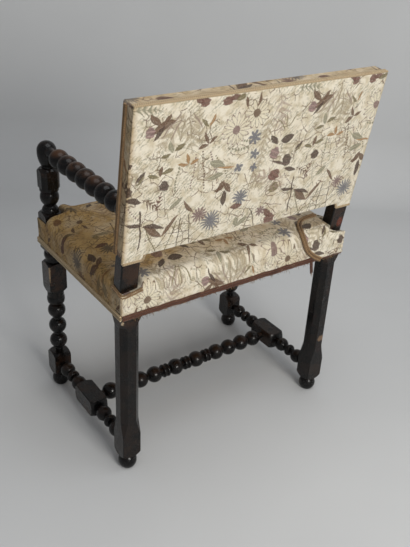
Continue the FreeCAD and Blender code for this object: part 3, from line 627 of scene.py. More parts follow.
def strap(start, end, up, waves):
    """One woven web between two points, lifted over and under the webs that it crosses."""
    width, thick = sizes().web_width, WEB_THICK
    start, end, up = (np.array(v, float) for v in (start, end, up))
    long = np.linalg.norm(end - start)
    along = (end - start) / long
    side = np.cross(along, up)
    at = np.linspace(0, long, 90)
    lift = np.zeros(len(at))
    for place, sign in waves:
        lift += sign * np.exp(-(np.abs(at - place) / (width * 0.52)) ** 6)
    across = np.array([-1.0, -0.98, -0.6, -0.2, 0.2, 0.6, 0.98, 1.0]) * width / 2
    sides = len(across)
    points, uvs = [], []
    for face in (1, -1):
        layer = (start + along * at[:, None])[:, None, :] + side * across[None, :, None]
        layer = layer + up * (lift + face * thick / 2)[:, None, None]
        points.append(layer.reshape(-1, 3))
        uvs.append(np.stack(np.broadcast_arrays(at[:, None], across[None, :]), -1).reshape(-1, 2))
    faces = grid_faces(len(at), sides)
    count = len(at) * sides
    faces += [tuple(reversed(f)) for f in grid_faces(len(at), sides, count)]
    loop = edge_loop(len(at), sides)
    for i in range(len(loop)):
        j = (i + 1) % len(loop)
        faces.append((loop[j], loop[i], loop[i] + count, loop[j] + count))
    return np.concatenate(points), faces, np.concatenate(uvs)


def joined(name, parts):
    points, faces, uvs = [], [], []
    for part_points, part_faces, part_uvs in parts:
        first = sum(len(p) for p in points)
        points.append(part_points)
        uvs.append(part_uvs)
        faces += [tuple(i + first for i in f) for f in part_faces]
    return new_object(name, np.concatenate(points), faces, np.concatenate(uvs), smooth=False)


def even_places(count, reach):
    pitch = 2 * reach / count
    return [-reach + pitch * (number + 0.5) for number in range(count)]


def seat_webs():
    """Jute webs over the rails, woven over and under each other."""
    reach_x, reach_y = OUTER_X - 0.010, OUTER_Y - 0.010
    level = RAIL_TOP + 0.00215
    rise = 0.00115
    cross_at = even_places(6, POST_X - POST_SIDE / 2)
    long_at = even_places(4, POST_Y - POST_SIDE / 2)
    parts = []
    for row, y in enumerate(long_at):
        waves = [(x + reach_x, rise * (1 if (row + column) % 2 else -1)) for column, x in enumerate(cross_at)]
        parts.append(strap(stand(-reach_x, y, level), stand(reach_x, y, level), (0, 0, 1), waves))
    for column, x in enumerate(cross_at):
        waves = [(y + reach_y, rise * (-1 if (row + column) % 2 else 1)) for row, y in enumerate(long_at)]
        parts.append(strap(stand(x, -reach_y, level), stand(x, reach_y, level), (0, 0, 1), waves))
    return joined("seat_webs", parts)


def back_webs():
    reach_x = OUTER_X - 0.010
    low, high = BACK_LOW + 0.013, BACK_HIGH - 0.013
    middle = (low + high) / 2
    level = -0.0312
    rise = 0.00115
    normal = lean(0, -1.0, 0) - lean(0, 0, 0)
    cross_at = even_places(5, OUTER_X - 0.041)
    long_at = even_places(3, (high - low) / 2)
    parts = []
    for row, up in enumerate(long_at):
        waves = [(x + reach_x, rise * (1 if (row + column) % 2 else -1)) for column, x in enumerate(cross_at)]
        inset = 0.045 if abs(up) < 0.05 else 0.0
        waves = [(place - inset, sign) for place, sign in waves]
        start, end = lean(-reach_x + inset, level, middle + up), lean(reach_x - inset, level, middle + up)
        parts.append(strap(start, end, normal, waves))
    for column, x in enumerate(cross_at):
        waves = [(middle + up - low, rise * (-1 if (row + column) % 2 else 1)) for row, up in enumerate(long_at)]
        parts.append(strap(lean(x, level, low), lean(x, level, high), normal, waves))
    return joined("back_webs", parts)


def hessian_sheet(name, corners, normal, thick):
    """A coarse hessian sheet between four corners, with a slight ripple."""
    corners = [np.array(c, float) for c in corners]
    normal = np.array(normal, float)
    rows, columns = 44, 60
    u, v = np.meshgrid(np.linspace(0, 1, columns), np.linspace(0, 1, rows))
    u, v = u[..., None], v[..., None]
    flat = corners[0] * (1 - u) * (1 - v) + corners[1] * u * (1 - v) + corners[2] * u * v + corners[3] * (1 - u) * v
    wide = np.linalg.norm(corners[1] - corners[0])
    long = np.linalg.norm(corners[3] - corners[0])
    ripple = 0.00012 * lattice_noise(u[..., 0] * 9, v[..., 0] * 7, 71, 2)[..., None]
    top = (flat + normal * (ripple + thick / 2)).reshape(-1, 3)
    under = (flat + normal * (ripple - thick / 2)).reshape(-1, 3)
    faces = grid_faces(rows, columns)
    count = len(top)
    faces += [tuple(reversed(f)) for f in grid_faces(rows, columns, count)]
    loop = edge_loop(rows, columns)
    for i in range(len(loop)):
        j = (i + 1) % len(loop)
        faces.append((loop[j], loop[i], loop[i] + count, loop[j] + count))
    uvs = np.concatenate([u * wide, v * long], -1).reshape(-1, 2)
    return new_object(name, np.concatenate([top, under]), faces, np.concatenate([uvs, uvs]))


def finer_middle(cut, reach, count):
    """Places from -reach to reach, with a row at each cut and count of them between the cuts."""
    side = np.linspace(cut, reach, 5)
    return np.concatenate([-side[::-1], np.linspace(-cut, cut, count)[1:-1], side])


def notched_hessian():
    """The seat's hessian, one sheet cut round the posts."""
    reach_x, reach_y = OUTER_X - HESSIAN_MARGIN, OUTER_Y - HESSIAN_MARGIN
    cut_x, cut_y = POST_X - POST_SIDE / 2 - 0.001, POST_Y - POST_SIDE / 2 - 0.001
    level, half_thick = RAIL_TOP + 0.0052, 0.0005
    across, along = finer_middle(cut_x, reach_x, 42), finer_middle(cut_y, reach_y, 30)
    x, y = (part.reshape(-1) for part in np.meshgrid(across, along))
    cells = []
    for cell in grid_faces(len(along), len(across)):
        if not (abs(x[list(cell)].mean()) > cut_x and abs(y[list(cell)].mean()) > cut_y):
            cells.append(cell)
    used = sorted({i for cell in cells for i in cell})
    renumbered = {old: new for new, old in enumerate(used)}
    cells = [tuple(renumbered[i] for i in cell) for cell in cells]
    x, y, count = x[used], y[used], len(used)
    edges = {(cell[k], cell[(k + 1) % 4]) for cell in cells for k in range(4)}
    faces = cells + [tuple(i + count for i in reversed(cell)) for cell in cells]
    faces += [(j, i, i + count, j + count) for i, j in sorted(edges) if (j, i) not in edges]
    points = np.concatenate([stand(x, y, level + side * half_thick) for side in (1, -1)])
    uvs = np.stack([x, y], -1)
    return new_object("seat_hessian_sheet", points, faces, np.concatenate([uvs, uvs]), smooth=False)


SOCKETS = {"value": "NodeSocketFloat", "vector": "NodeSocketVector", "colour": "NodeSocketColor"}


class Wiring:
    """Puts nodes into a tree and joins them. A value is a number, a tuple or a socket."""

    def __init__(self, tree):
        self.tree = tree

    def add(self, kind, **settings):
        node = self.tree.nodes.new("ShaderNode" + kind)
        for name, value in settings.items():
            setattr(node, name, value)
        return node

    def feed(self, socket, value):
        if isinstance(value, bpy.types.NodeSocket):
            self.tree.links.new(value, socket)
        elif value is not None:
            socket.default_value = value

    def math(self, operation, *values, clamp=False):
        node = self.add("Math", operation=operation, use_clamp=clamp)
        for socket, value in zip(node.inputs, values):
            self.feed(socket, value)
        return node.outputs[0]

    def vector(self, operation, *values):
        node = self.add("VectorMath", operation=operation)
        for socket, value in zip(node.inputs, values):
            self.feed(socket, value)
        plain = operation in ("LENGTH", "DISTANCE", "DOT_PRODUCT")
        return node.outputs["Value" if plain else "Vector"]

    def fade(self, value, low, high, to_low=0.0, to_high=1.0):
        # A smooth step stays between its limits, and the renderer's stack can't hold clamps.
        node = self.add("MapRange", interpolation_type="SMOOTHSTEP", clamp=False)
        names = ("Value", "From Min", "From Max", "To Min", "To Max")
        for name, number in zip(names, (value, low, high, to_low, to_high)):
            self.feed(node.inputs[name], number)
        return node.outputs["Result"]

    def blend(self, share, a, b, mode="MIX"):
        node = self.add("Mix", data_type="RGBA", blend_type=mode)
        self.feed(node.inputs[0], share)
        self.feed(node.inputs[6], a)
        self.feed(node.inputs[7], b)
        return node.outputs[2]

    def noise(self, vector, scale, detail=2.0, rough=0.5, colour=False):
        node = self.add("TexNoise")
        self.feed(node.inputs["Vector"], vector)
        self.feed(node.inputs["Scale"], scale)
        node.inputs["Detail"].default_value = detail
        node.inputs["Roughness"].default_value = rough
        return node.outputs["Color" if colour else "Fac"]

    def split(self, vector):
        node = self.add("SeparateXYZ")
        self.feed(node.inputs[0], vector)
        return node.outputs

    def join(self, x=0.0, y=0.0, z=0.0):
        node = self.add("CombineXYZ")
        for socket, value in zip(node.inputs, (x, y, z)):
            self.feed(socket, value)
        return node.outputs[0]

    def group(self, tree, **values):
        node = self.add("Group")
        node.node_tree = tree
        for name, value in values.items():
            self.feed(node.inputs[name.replace("_", " ")], value)
        return node.outputs


def shader_group(name, inputs, outputs, build):
    """A shader node group with named sockets. build(wiring, inputs) gives its outputs by name."""
    tree = bpy.data.node_groups.new(name, "ShaderNodeTree")
    for label, kind, default in inputs:
        socket = tree.interface.new_socket(name=label, in_out="INPUT", socket_type=SOCKETS[kind])
        if default is not None:
            socket.default_value = default
    for label, kind in outputs:
        tree.interface.new_socket(name=label, in_out="OUTPUT", socket_type=SOCKETS[kind])
    wiring = Wiring(tree)
    made = build(wiring, tree.nodes.new("NodeGroupInput").outputs)
    end = tree.nodes.new("NodeGroupOutput")
    for label, kind in outputs:
        wiring.feed(end.inputs[label], made[label])
    return tree


def new_material(name, roughness=0.8, specular=0.5):
    made = bpy.data.materials.new(name)
    made.use_nodes = True
    shader = made.node_tree.nodes["Principled BSDF"]
    shader.inputs["Roughness"].default_value = roughness
    shader.inputs["Specular IOR Level"].default_value = specular
    return made, Wiring(made.node_tree), shader


def bumped(w, height, distance, strength=1.0, normal=None):
    node = w.add("Bump")
    node.inputs["Strength"].default_value = strength
    node.inputs["Distance"].default_value = distance
    w.feed(node.inputs["Height"], height)
    if normal is not None:
        w.feed(node.inputs["Normal"], normal)
    return node.outputs["Normal"]


REPEAT_WIDE = 0.372
REPEAT_LONG = 0.330
DARK_BROWN = srgb(72, 54, 44)
BROWN = srgb(100, 76, 58)
RED_BROWN = srgb(102, 70, 60)
MAUVE = srgb(128, 104, 100)
PALE_MAUVE = srgb(160, 140, 126)
SLATE = srgb(112, 112, 118)
OLIVE = srgb(112, 102, 72)
GREY_GREEN = srgb(142, 138, 116)
PALE_LEAF = srgb(164, 150, 124)
GOLD_BROWN = srgb(150, 116, 76)

# One repeat of the cloth's botanical pattern: kind, x, y, size, turn in degrees, colour and
# what the kind adds. The first rows lie lowest, and lengths are in centimetres.
MOTIFS = (
    ("sprig", 13.5, 30.5, 9.5, -62, PALE_LEAF, (0.30, 5, 0.10)),
    ("sprig", 12.5, 30.0, 9.0, -95, PALE_LEAF, (0.28, 5, -0.12)),
    ("sprig", 29.5, 31.5, 10.0, -112, PALE_MAUVE, (0.26, 7, 0.18)),
    ("sprig", 30.5, 28.0, 13.0, -80, PALE_LEAF, (0.16, 9, -0.12)),
    ("sprig", 20.5, 21.0, 9.0, -40, PALE_LEAF, (0.26, 6, 0.15)),
    ("sprig", 4.0, 15.0, 10.0, 28, PALE_LEAF, (0.22, 6, 0.10)),
    ("sprig", 33.5, 17.5, 8.5, -120, PALE_LEAF, (0.28, 5, 0.10)),
    ("sprig", 24.0, 12.0, 9.0, 20, PALE_MAUVE, (0.24, 6, -0.15)),
    ("sprig", 9.0, 23.0, 8.0, 70, PALE_LEAF, (0.26, 5, 0.15)),
    ("line", 14.8, 24.2, 10.5, -158, GREY_GREEN, (0.008, 0.16)),
    ("line", 31.0, 26.0, 18.5, -79, RED_BROWN, (0.006, -0.10)),
    ("line", 17.2, 19.5, 6.5, -28, DARK_BROWN, (0.011, 0.22)),
    ("line", 16.3, 15.0, 7.5, -100, OLIVE, (0.010, -0.06)),
    ("line", 34.0, 20.0, 8.0, -55, GREY_GREEN, (0.009, 0.25)),
    ("line", 22.5, 26.5, 5.0, 130, OLIVE, (0.014, -0.3)),
    ("line", 5.0, 27.5, 7.0, -30, GREY_GREEN, (0.010, -0.3)),
    ("line", 1.0, 10.0, 9.0, 52, BROWN, (0.008, 0.2)),
    ("beads", 7.0, 21.5, 8.0, -118, MAUVE, (0.030, 13, 0.12)),
    ("beads", 8.5, 22.0, 8.5, -104, BROWN, (0.028, 14, 0.10)),
    ("beads", 10.0, 21.5, 7.5, -90, MAUVE, (0.030, 12, 0.05)),
    ("beads", 13.5, 20.0, 5.5, -80, GREY_GREEN, (0.050, 9, -0.10)),
    ("beads", 5.5, 20.5, 6.5, -130, OLIVE, (0.034, 10, 0.10)),
    ("beads", 34.5, 22.0, 5.5, 15, GREY_GREEN, (0.055, 8, 0.30)),
    ("beads", 34.8, 21.0, 5.0, -10, GREY_GREEN, (0.060, 7, 0.20)),
    ("beads", 20.0, 9.0, 6.0, 35, MAUVE, (0.036, 9, 0.20)),
    ("leaf", 14.0, 30.6, 6.8, -48, PALE_MAUVE, (0.055, -0.05)),
    ("leaf", 13.6, 30.0, 6.2, -66, PALE_MAUVE, (0.050, 0.03)),
    ("leaf", 13.2, 29.8, 5.6, -84, PALE_LEAF, (0.055, 0.05)),
    ("leaf", 12.6, 29.4, 5.0, -108, PALE_LEAF, (0.055, 0.08)),
    ("leaf", 12.2, 30.4, 5.4, -132, PALE_MAUVE, (0.050, 0.10)),
    ("leaf", 15.2, 23.0, 2.9, 155, OLIVE, (0.17, 0.05)),
    ("leaf", 15.6, 22.6, 2.4, -20, OLIVE, (0.18, 0.10)),
    ("leaf", 15.4, 22.6, 2.6, 75, GREY_GREEN, (0.19, 0.0)),
    ("leaf", 17.2, 18.6, 2.6, 160, OLIVE, (0.19, 0.1)),
    ("leaf", 17.6, 18.0, 2.6, 25, OLIVE, (0.19, -0.1)),
    ("leaf", 17.4, 18.0, 2.4, 95, BROWN, (0.17, 0.0)),
    ("leaf", 6.6, 19.2, 4.2, -160, GREY_GREEN, (0.20, 0.04)),
    ("leaf", 6.6, 15.6, 4.0, 172, GREY_GREEN, (0.17, 0.05)),
    ("leaf", 12.0, 12.8, 3.4, -42, GREY_GREEN, (0.17, 0.02)),
    ("leaf", 11.5, 19.6, 2.4, 75, GOLD_BROWN, (0.16, 0.1)),
    ("leaf", 11.5, 19.6, 2.6, 10, GOLD_BROWN, (0.15, -0.1)),
    ("leaf", 11.3, 19.4, 2.5, 150, GOLD_BROWN, (0.15, 0.1)),
    ("leaf", 7.4, 23.2, 2.8, 60, BROWN, (0.15, 0.1)),
    ("leaf", 7.4, 23.2, 2.5, -15, BROWN, (0.18, -0.1)),
    ("leaf", 7.4, 23.2, 2.4, 140, BROWN, (0.16, 0.1)),
    ("leaf", 7.7, 26.6, 2.6, 110, GOLD_BROWN, (0.15, 0.0)),
    ("leaf", 7.7, 26.6, 2.8, 30, OLIVE, (0.12, 0.2)),
    ("leaf", 15.2, 29.0, 5.4, -12, BROWN, (0.150, -0.22)),
    ("leaf", 18.3, 28.2, 3.6, 40, BROWN, (0.200, 0.10)),
    ("leaf", 17.6, 28.4, 3.6, -62, DARK_BROWN, (0.130, 0.10)),
    ("leaf", 17.8, 28.2, 2.6, 120, BROWN, (0.190, 0.10)),
    ("ball", 20.3, 27.2, 1.15, 0, MAUVE, ()),
    ("leaf", 25.8, 23.2, 4.6, 118, OLIVE, (0.035, 0.22)),
    ("leaf", 25.8, 23.2, 4.2, 82, OLIVE, (0.040, -0.12)),
    ("leaf", 26.0, 23.0, 4.6, 58, OLIVE, (0.040, -0.26)),
    ("leaf", 23.4, 21.8, 3.6, -28, DARK_BROWN, (0.260, 0.25)),
    ("leaf", 27.6, 20.2, 3.2, 42, DARK_BROWN, (0.200, 0.10)),
    ("leaf", 20.6, 20.0, 2.8, -48, DARK_BROWN, (0.14, 0.05)),
    ("leaf", 22.6, 17.4, 2.6, 150, OLIVE, (0.11, -0.3)),
    ("leaf", 24.0, 15.0, 5.4, 24, DARK_BROWN, (0.055, -0.05)),
    ("leaf", 24.4, 14.6, 3.6, -164, DARK_BROWN, (0.17, 0.05)),
    ("ball", 27.8, 18.4, 1.45, 20, MAUVE, ()),
    ("ball", 24.2, 16.2, 1.40, 0, DARK_BROWN, ()),
    ("ball", 16.4, 16.0, 1.15, 0, DARK_BROWN, ()),
    ("ball", 26.8, 13.2, 1.70, 40, RED_BROWN, ()),
    ("ball", 26.2, 10.1, 1.25, 10, OLIVE, ()),
    ("daisy", 34.4, 27.8, 3.3, 10, BROWN, (13, DARK_BROWN)),
    ("daisy", 1.4, 25.2, 3.5, 40, MAUVE, (15, MAUVE)),
    ("thistle", 33.8, 22.8, 1.7, 0, SLATE, (7,)),
    ("thistle", 33.2, 19.0, 1.4, 30, SLATE, (5,)),
    ("thistle", 36.4, 16.6, 1.2, 60, SLATE, (4,)),
    ("thistle", 32.6, 15.9, 1.1, 10, SLATE, (4,)),
    ("leaf", 0.2, 17.0, 4.6, 2, GOLD_BROWN, (0.07, 0.10)),
    ("leaf", 2.2, 14.6, 3.2, -62, BROWN, (0.22, 0.10)),
    ("leaf", 2.2, 14.2, 3.4, -120, BROWN, (0.20, -0.10)),
    ("leaf", 2.0, 12.4, 4.2, -96, DARK_BROWN, (0.17, 0.08)),
    ("leaf", 2.3, 13.2, 2.6, -25, BROWN, (0.18, 0.10)),
    ("thistle", 34.8, 9.6, 2.1, 0, SLATE, (12,)),
    ("leaf", 33.6, 8.0, 3.4, -12, RED_BROWN, (0.21, 0.10)),
    ("thistle", 4.4, 5.6, 2.6, 20, SLATE, (16,)),
    ("thistle", 7.3, 7.8, 1.9, 50, MAUVE, (12,)),
    ("leaf", 8.6, 8.4, 4.6, 38, BROWN, (0.09, 0.20)),
    ("leaf", 12.2, 9.2, 6.0, -46, BROWN, (0.085, -0.10)),
    ("line", 9.8, 8.6, 8.0, -100, DARK_BROWN, (0.016, 0.05)),
    ("line", 11.6, 8.4, 8.0, -84, DARK_BROWN, (0.016, -0.05)),
    ("line", 12.4, 7.6, 7.0, -70, OLIVE, (0.018, 0.0)),
    ("line", 9.0, 4.6, 5.6, 6, DARK_BROWN, (0.016, 0.03)),
    ("line", 8.8, 2.6, 6.4, -4, OLIVE, (0.016, 0.05)),
    ("line", 9.4, 6.4, 4.0, 3, OLIVE, (0.018, -0.05)),
    ("line", 6.6, 4.4, 5.2, -36, OLIVE, (0.020, 0.10)),
    ("line", 5.8, 3.2, 4.6, -48, OLIVE, (0.022, 0.12)),
    ("line", 14.6, 5.6, 6.5, -62, DARK_BROWN, (0.014, 0.05)),
    ("line", 13.6, 3.8, 5.2, -28, OLIVE, (0.018, 0.10)),
    ("leaf", 15.6, 4.8, 5.6, 32, BROWN, (0.16, 0.14)),
    ("leaf", 20.4, 8.2, 5.4, 186, DARK_BROWN, (0.10, 0.20)),
    ("leaf", 20.0, 8.4, 4.4, 8, DARK_BROWN, (0.10, 0.10)),
    ("line", 21.0, 11.8, 9.0, -96, DARK_BROWN, (0.022, 0.06)),
    ("line", 19.8, 8.0, 7.5, -112, OLIVE, (0.018, -0.06)),
    ("line", 22.6, 5.2, 6.8, 12, RED_BROWN, (0.014, 0.08)),
    ("line", 23.6, 3.0, 5.5, 40, RED_BROWN, (0.016, 0.10)),
    ("line", 31.6, 6.2, 6.5, -120, DARK_BROWN, (0.020, 0.16)),
    ("line", 31.2, 5.2, 6.0, -70, DARK_BROWN, (0.018, -0.12)),
    ("line", 30.8, 3.4, 4.6, -20, OLIVE, (0.020, 0.14)),
    ("leaf", 25.4, 3.0, 3.2, 40, RED_BROWN, (0.25, 0.0)),
    ("ball", 25.6, 2.4, 1.55, 0, RED_BROWN, ()),
    ("thistle", 28.6, 4.8, 1.4, 0, MAUVE, (8,)),
    ("leaf", 34.0, 2.4, 3.0, 60, GREY_GREEN, (0.24, 0.1)),
    ("leaf", 34.0, 2.4, 3.0, 130, GREY_GREEN, (0.22, 0.1)),
    ("ball", 4.6, 31.2, 1.15, 0, RED_BROWN, ()),
    ("leaf", 4.4, 31.4, 2.6, 160, RED_BROWN, (0.26, 0.1)),
    ("ball", 9.6, 31.6, 1.10, 0, RED_BROWN, ()),
    ("leaf", 9.8, 31.6, 2.4, 30, RED_BROWN, (0.22, 0.1)),
    ("leaf", 34.2, 32.2, 3.2, -88, BROWN, (0.11, 0.10)),
    ("leaf", 0.4, 32.2, 2.8, -30, OLIVE, (0.20, 0.10)),
    ("leaf", 0.4, 31.8, 2.6, -110, BROWN, (0.16, 0.10)),
    ("sprig", 25.0, 31.5, 6.5, 172, GREY_GREEN, (0.22, 6, 0.2)),
    ("sprig", 21.0, 14.0, 5.5, -150, BROWN, (0.20, 6, 0.1)),
    ("sprig", 29.0, 10.5, 6.0, 178, PALE_MAUVE, (0.26, 5, 0.1)),
    ("sprig", 17.5, 10.5, 4.5, 95, RED_BROWN, (0.20, 5, 0.1)),
)


def motif_plan(kind):
    """The sockets of one motif's group, and the function that draws it."""
    inputs = (
        ("Cloth", "vector", None), ("Place", "vector", None), ("Along", "vector", None), ("Across", "vector", None),
        ("Wide", "value", 0.2), ("Count", "value", 6.0), ("Bend", "value", 0.0), ("Strength", "value", 0.9),
        ("Under", "colour", None), ("Tint", "colour", None), ("Line Tint", "colour", None),
        ("Under Raised", "value", 0.0),
    )
    return inputs, (("Colour", "colour"), ("Raised", "value")), lambda w, given: draw_motif(w, given, kind)


def draw_motif(w, given, kind):
    """One motif laid over the colours under it, with its darker or lighter lines."""
    away = w.vector("SUBTRACT", given["Cloth"], given["Place"])
    along = w.vector("DOT_PRODUCT", away, given["Along"])
    across = w.vector("DOT_PRODUCT", away, given["Across"])
    mask, lines = MOTIF_SHAPES[kind](w, along, across, given["Wide"], given["Count"], given["Bend"])
    covered = w.math("MULTIPLY", mask, given["Strength"])
    colour = w.blend(covered, given["Under"], given["Tint"])
    if lines is not None:
        share = 0.9 if kind == "daisy" else 0.55
        colour = w.blend(w.math("MULTIPLY", w.math("MULTIPLY", mask, lines), share), colour, given["Line Tint"])
    return {"Colour": colour, "Raised": w.math("MAXIMUM", given["Under Raised"], lines if kind == "daisy" else mask)}


def distance(w, along, across):
    return w.math("SQRT", w.math("MULTIPLY_ADD", along, along, w.math("MULTIPLY", across, across)))


def ball_shape(w, along, across, wide, count, bend):
    stripes = w.math("SINE", w.math("MULTIPLY", across, 9.0))
    edge = w.math("MULTIPLY_ADD", stripes, 0.07, 0.90)
    return w.fade(w.math("SUBTRACT", edge, distance(w, along, across)), 0.0, 0.10), w.fade(stripes, 0.1, 0.9)


def petal_edge(w, along, across, count, low):
    around = w.math("ARCTAN2", across, along)
    wave = w.math("ABSOLUTE", w.math("COSINE", w.math("MULTIPLY", around, w.math("MULTIPLY", count, 0.5))))
    return wave, w.math("MULTIPLY_ADD", wave, 1 - low, low)


def daisy_shape(w, along, across, wide, count, bend):
    wave, edge = petal_edge(w, along, across, count, 0.50)
    reach = distance(w, along, across)
    inside = w.math("SUBTRACT", edge, reach)
    rim = w.fade(w.math("ABSOLUTE", w.math("SUBTRACT", inside, 0.06)), 0.085, 0.02)
    between = w.math("MULTIPLY", w.fade(wave, 0.34, 0.12), w.fade(inside, -0.05, 0.05))
    heart = w.fade(reach, 0.28, 0.22)
    return w.fade(inside, 0.0, 0.06), w.math("MAXIMUM", w.math("MAXIMUM", rim, between), heart)


def thistle_shape(w, along, across, wide, count, bend):
    wave, edge = petal_edge(w, along, across, count, 0.35)
    return w.fade(w.math("SUBTRACT", edge, distance(w, along, across)), 0.0, 0.16), w.fade(wave, 0.75, 0.25)


def bent_side(w, along, across, bend):
    offset = w.math("SUBTRACT", across, w.math("MULTIPLY", w.math("MULTIPLY", along, along), bend))
    side = w.math("ABSOLUTE", offset)
    return side, w.math("MULTIPLY", along, w.math("MULTIPLY_ADD", along, -4.0, 4.0))


def leaf_shape(w, along, across, wide, count, bend):
    side, taper = bent_side(w, along, across, bend)
    inside = w.math("SUBTRACT", w.math("MULTIPLY", taper, wide), side)
    return w.fade(inside, 0.0, 0.02), w.fade(side, 0.022, 0.006)


def line_shape(w, along, across, wide, count, bend):
    side, taper = bent_side(w, along, across, bend)
    width = w.math("MULTIPLY", w.math("MINIMUM", w.math("MULTIPLY", taper, 6.0), 1.0), wide)
    return w.fade(w.math("SUBTRACT", width, side), 0.0, 0.008), None


def beads_shape(w, along, across, wide, count, bend):
    side, taper = bent_side(w, along, across, bend)
    step = w.math("SUBTRACT", w.math("FRACT", w.math("MULTIPLY", along, count)), 0.5)
    dot = w.math("SUBTRACT", wide, distance(w, w.math("DIVIDE", step, count), side))
    return w.math("MULTIPLY", w.fade(dot, 0.0, 0.012), w.fade(taper, 0.02, 0.12)), None


def sprig_shape(w, along, across, wide, count, bend):
    side, taper = bent_side(w, along, across, bend)
    room = w.math("SUBTRACT", w.math("MULTIPLY", taper, wide), side)
    slant = w.math("MULTIPLY_ADD", side, -0.9, along)
    cell = w.math("ABSOLUTE", w.math("SUBTRACT", w.math("FRACT", w.math("MULTIPLY", slant, count)), 0.5))
    swell = w.math("SQRT", w.math("DIVIDE", w.math("MAXIMUM", room, 0.0), wide))
    leaf = w.math("SUBTRACT", w.math("MULTIPLY", swell, 0.36), cell)
    blades = w.math("MULTIPLY", w.fade(leaf, 0.0, 0.10), w.fade(room, 0.0, 0.02))
    stem = w.math("MULTIPLY", w.fade(side, 0.014, 0.006), w.fade(taper, 0.02, 0.08))
    return w.math("MAXIMUM", blades, stem), None


MOTIF_SHAPES = {
    "ball": ball_shape, "daisy": daisy_shape, "thistle": thistle_shape, "leaf": leaf_shape,
    "line": line_shape, "beads": beads_shape, "sprig": sprig_shape,
}


def copies_in_repeat(x, y, turn, size, kind):
    """The motif and its copies over the borders of the repeat, so that none is cut."""
    turn = math.radians(turn)
    far_x = x + (math.cos(turn) * size if kind in ("leaf", "line", "sprig", "beads") else 0)
    far_y = y + (math.sin(turn) * size if kind in ("leaf", "line", "sprig", "beads") else 0)
    wide = size * (0.25 if kind in ("leaf", "line", "sprig", "beads") else 1.0)
    places = []
    for step_x in (-REPEAT_WIDE, 0, REPEAT_WIDE):
        for step_y in (-REPEAT_LONG, 0, REPEAT_LONG):
            left, right = min(x, far_x) + step_x - wide, max(x, far_x) + step_x + wide
            low, high = min(y, far_y) + step_y - wide, max(y, far_y) + step_y + wide
            if right > 0 and left < REPEAT_WIDE and high > 0 and low < REPEAT_LONG:
                places.append((x + step_x, y + step_y))
    return places


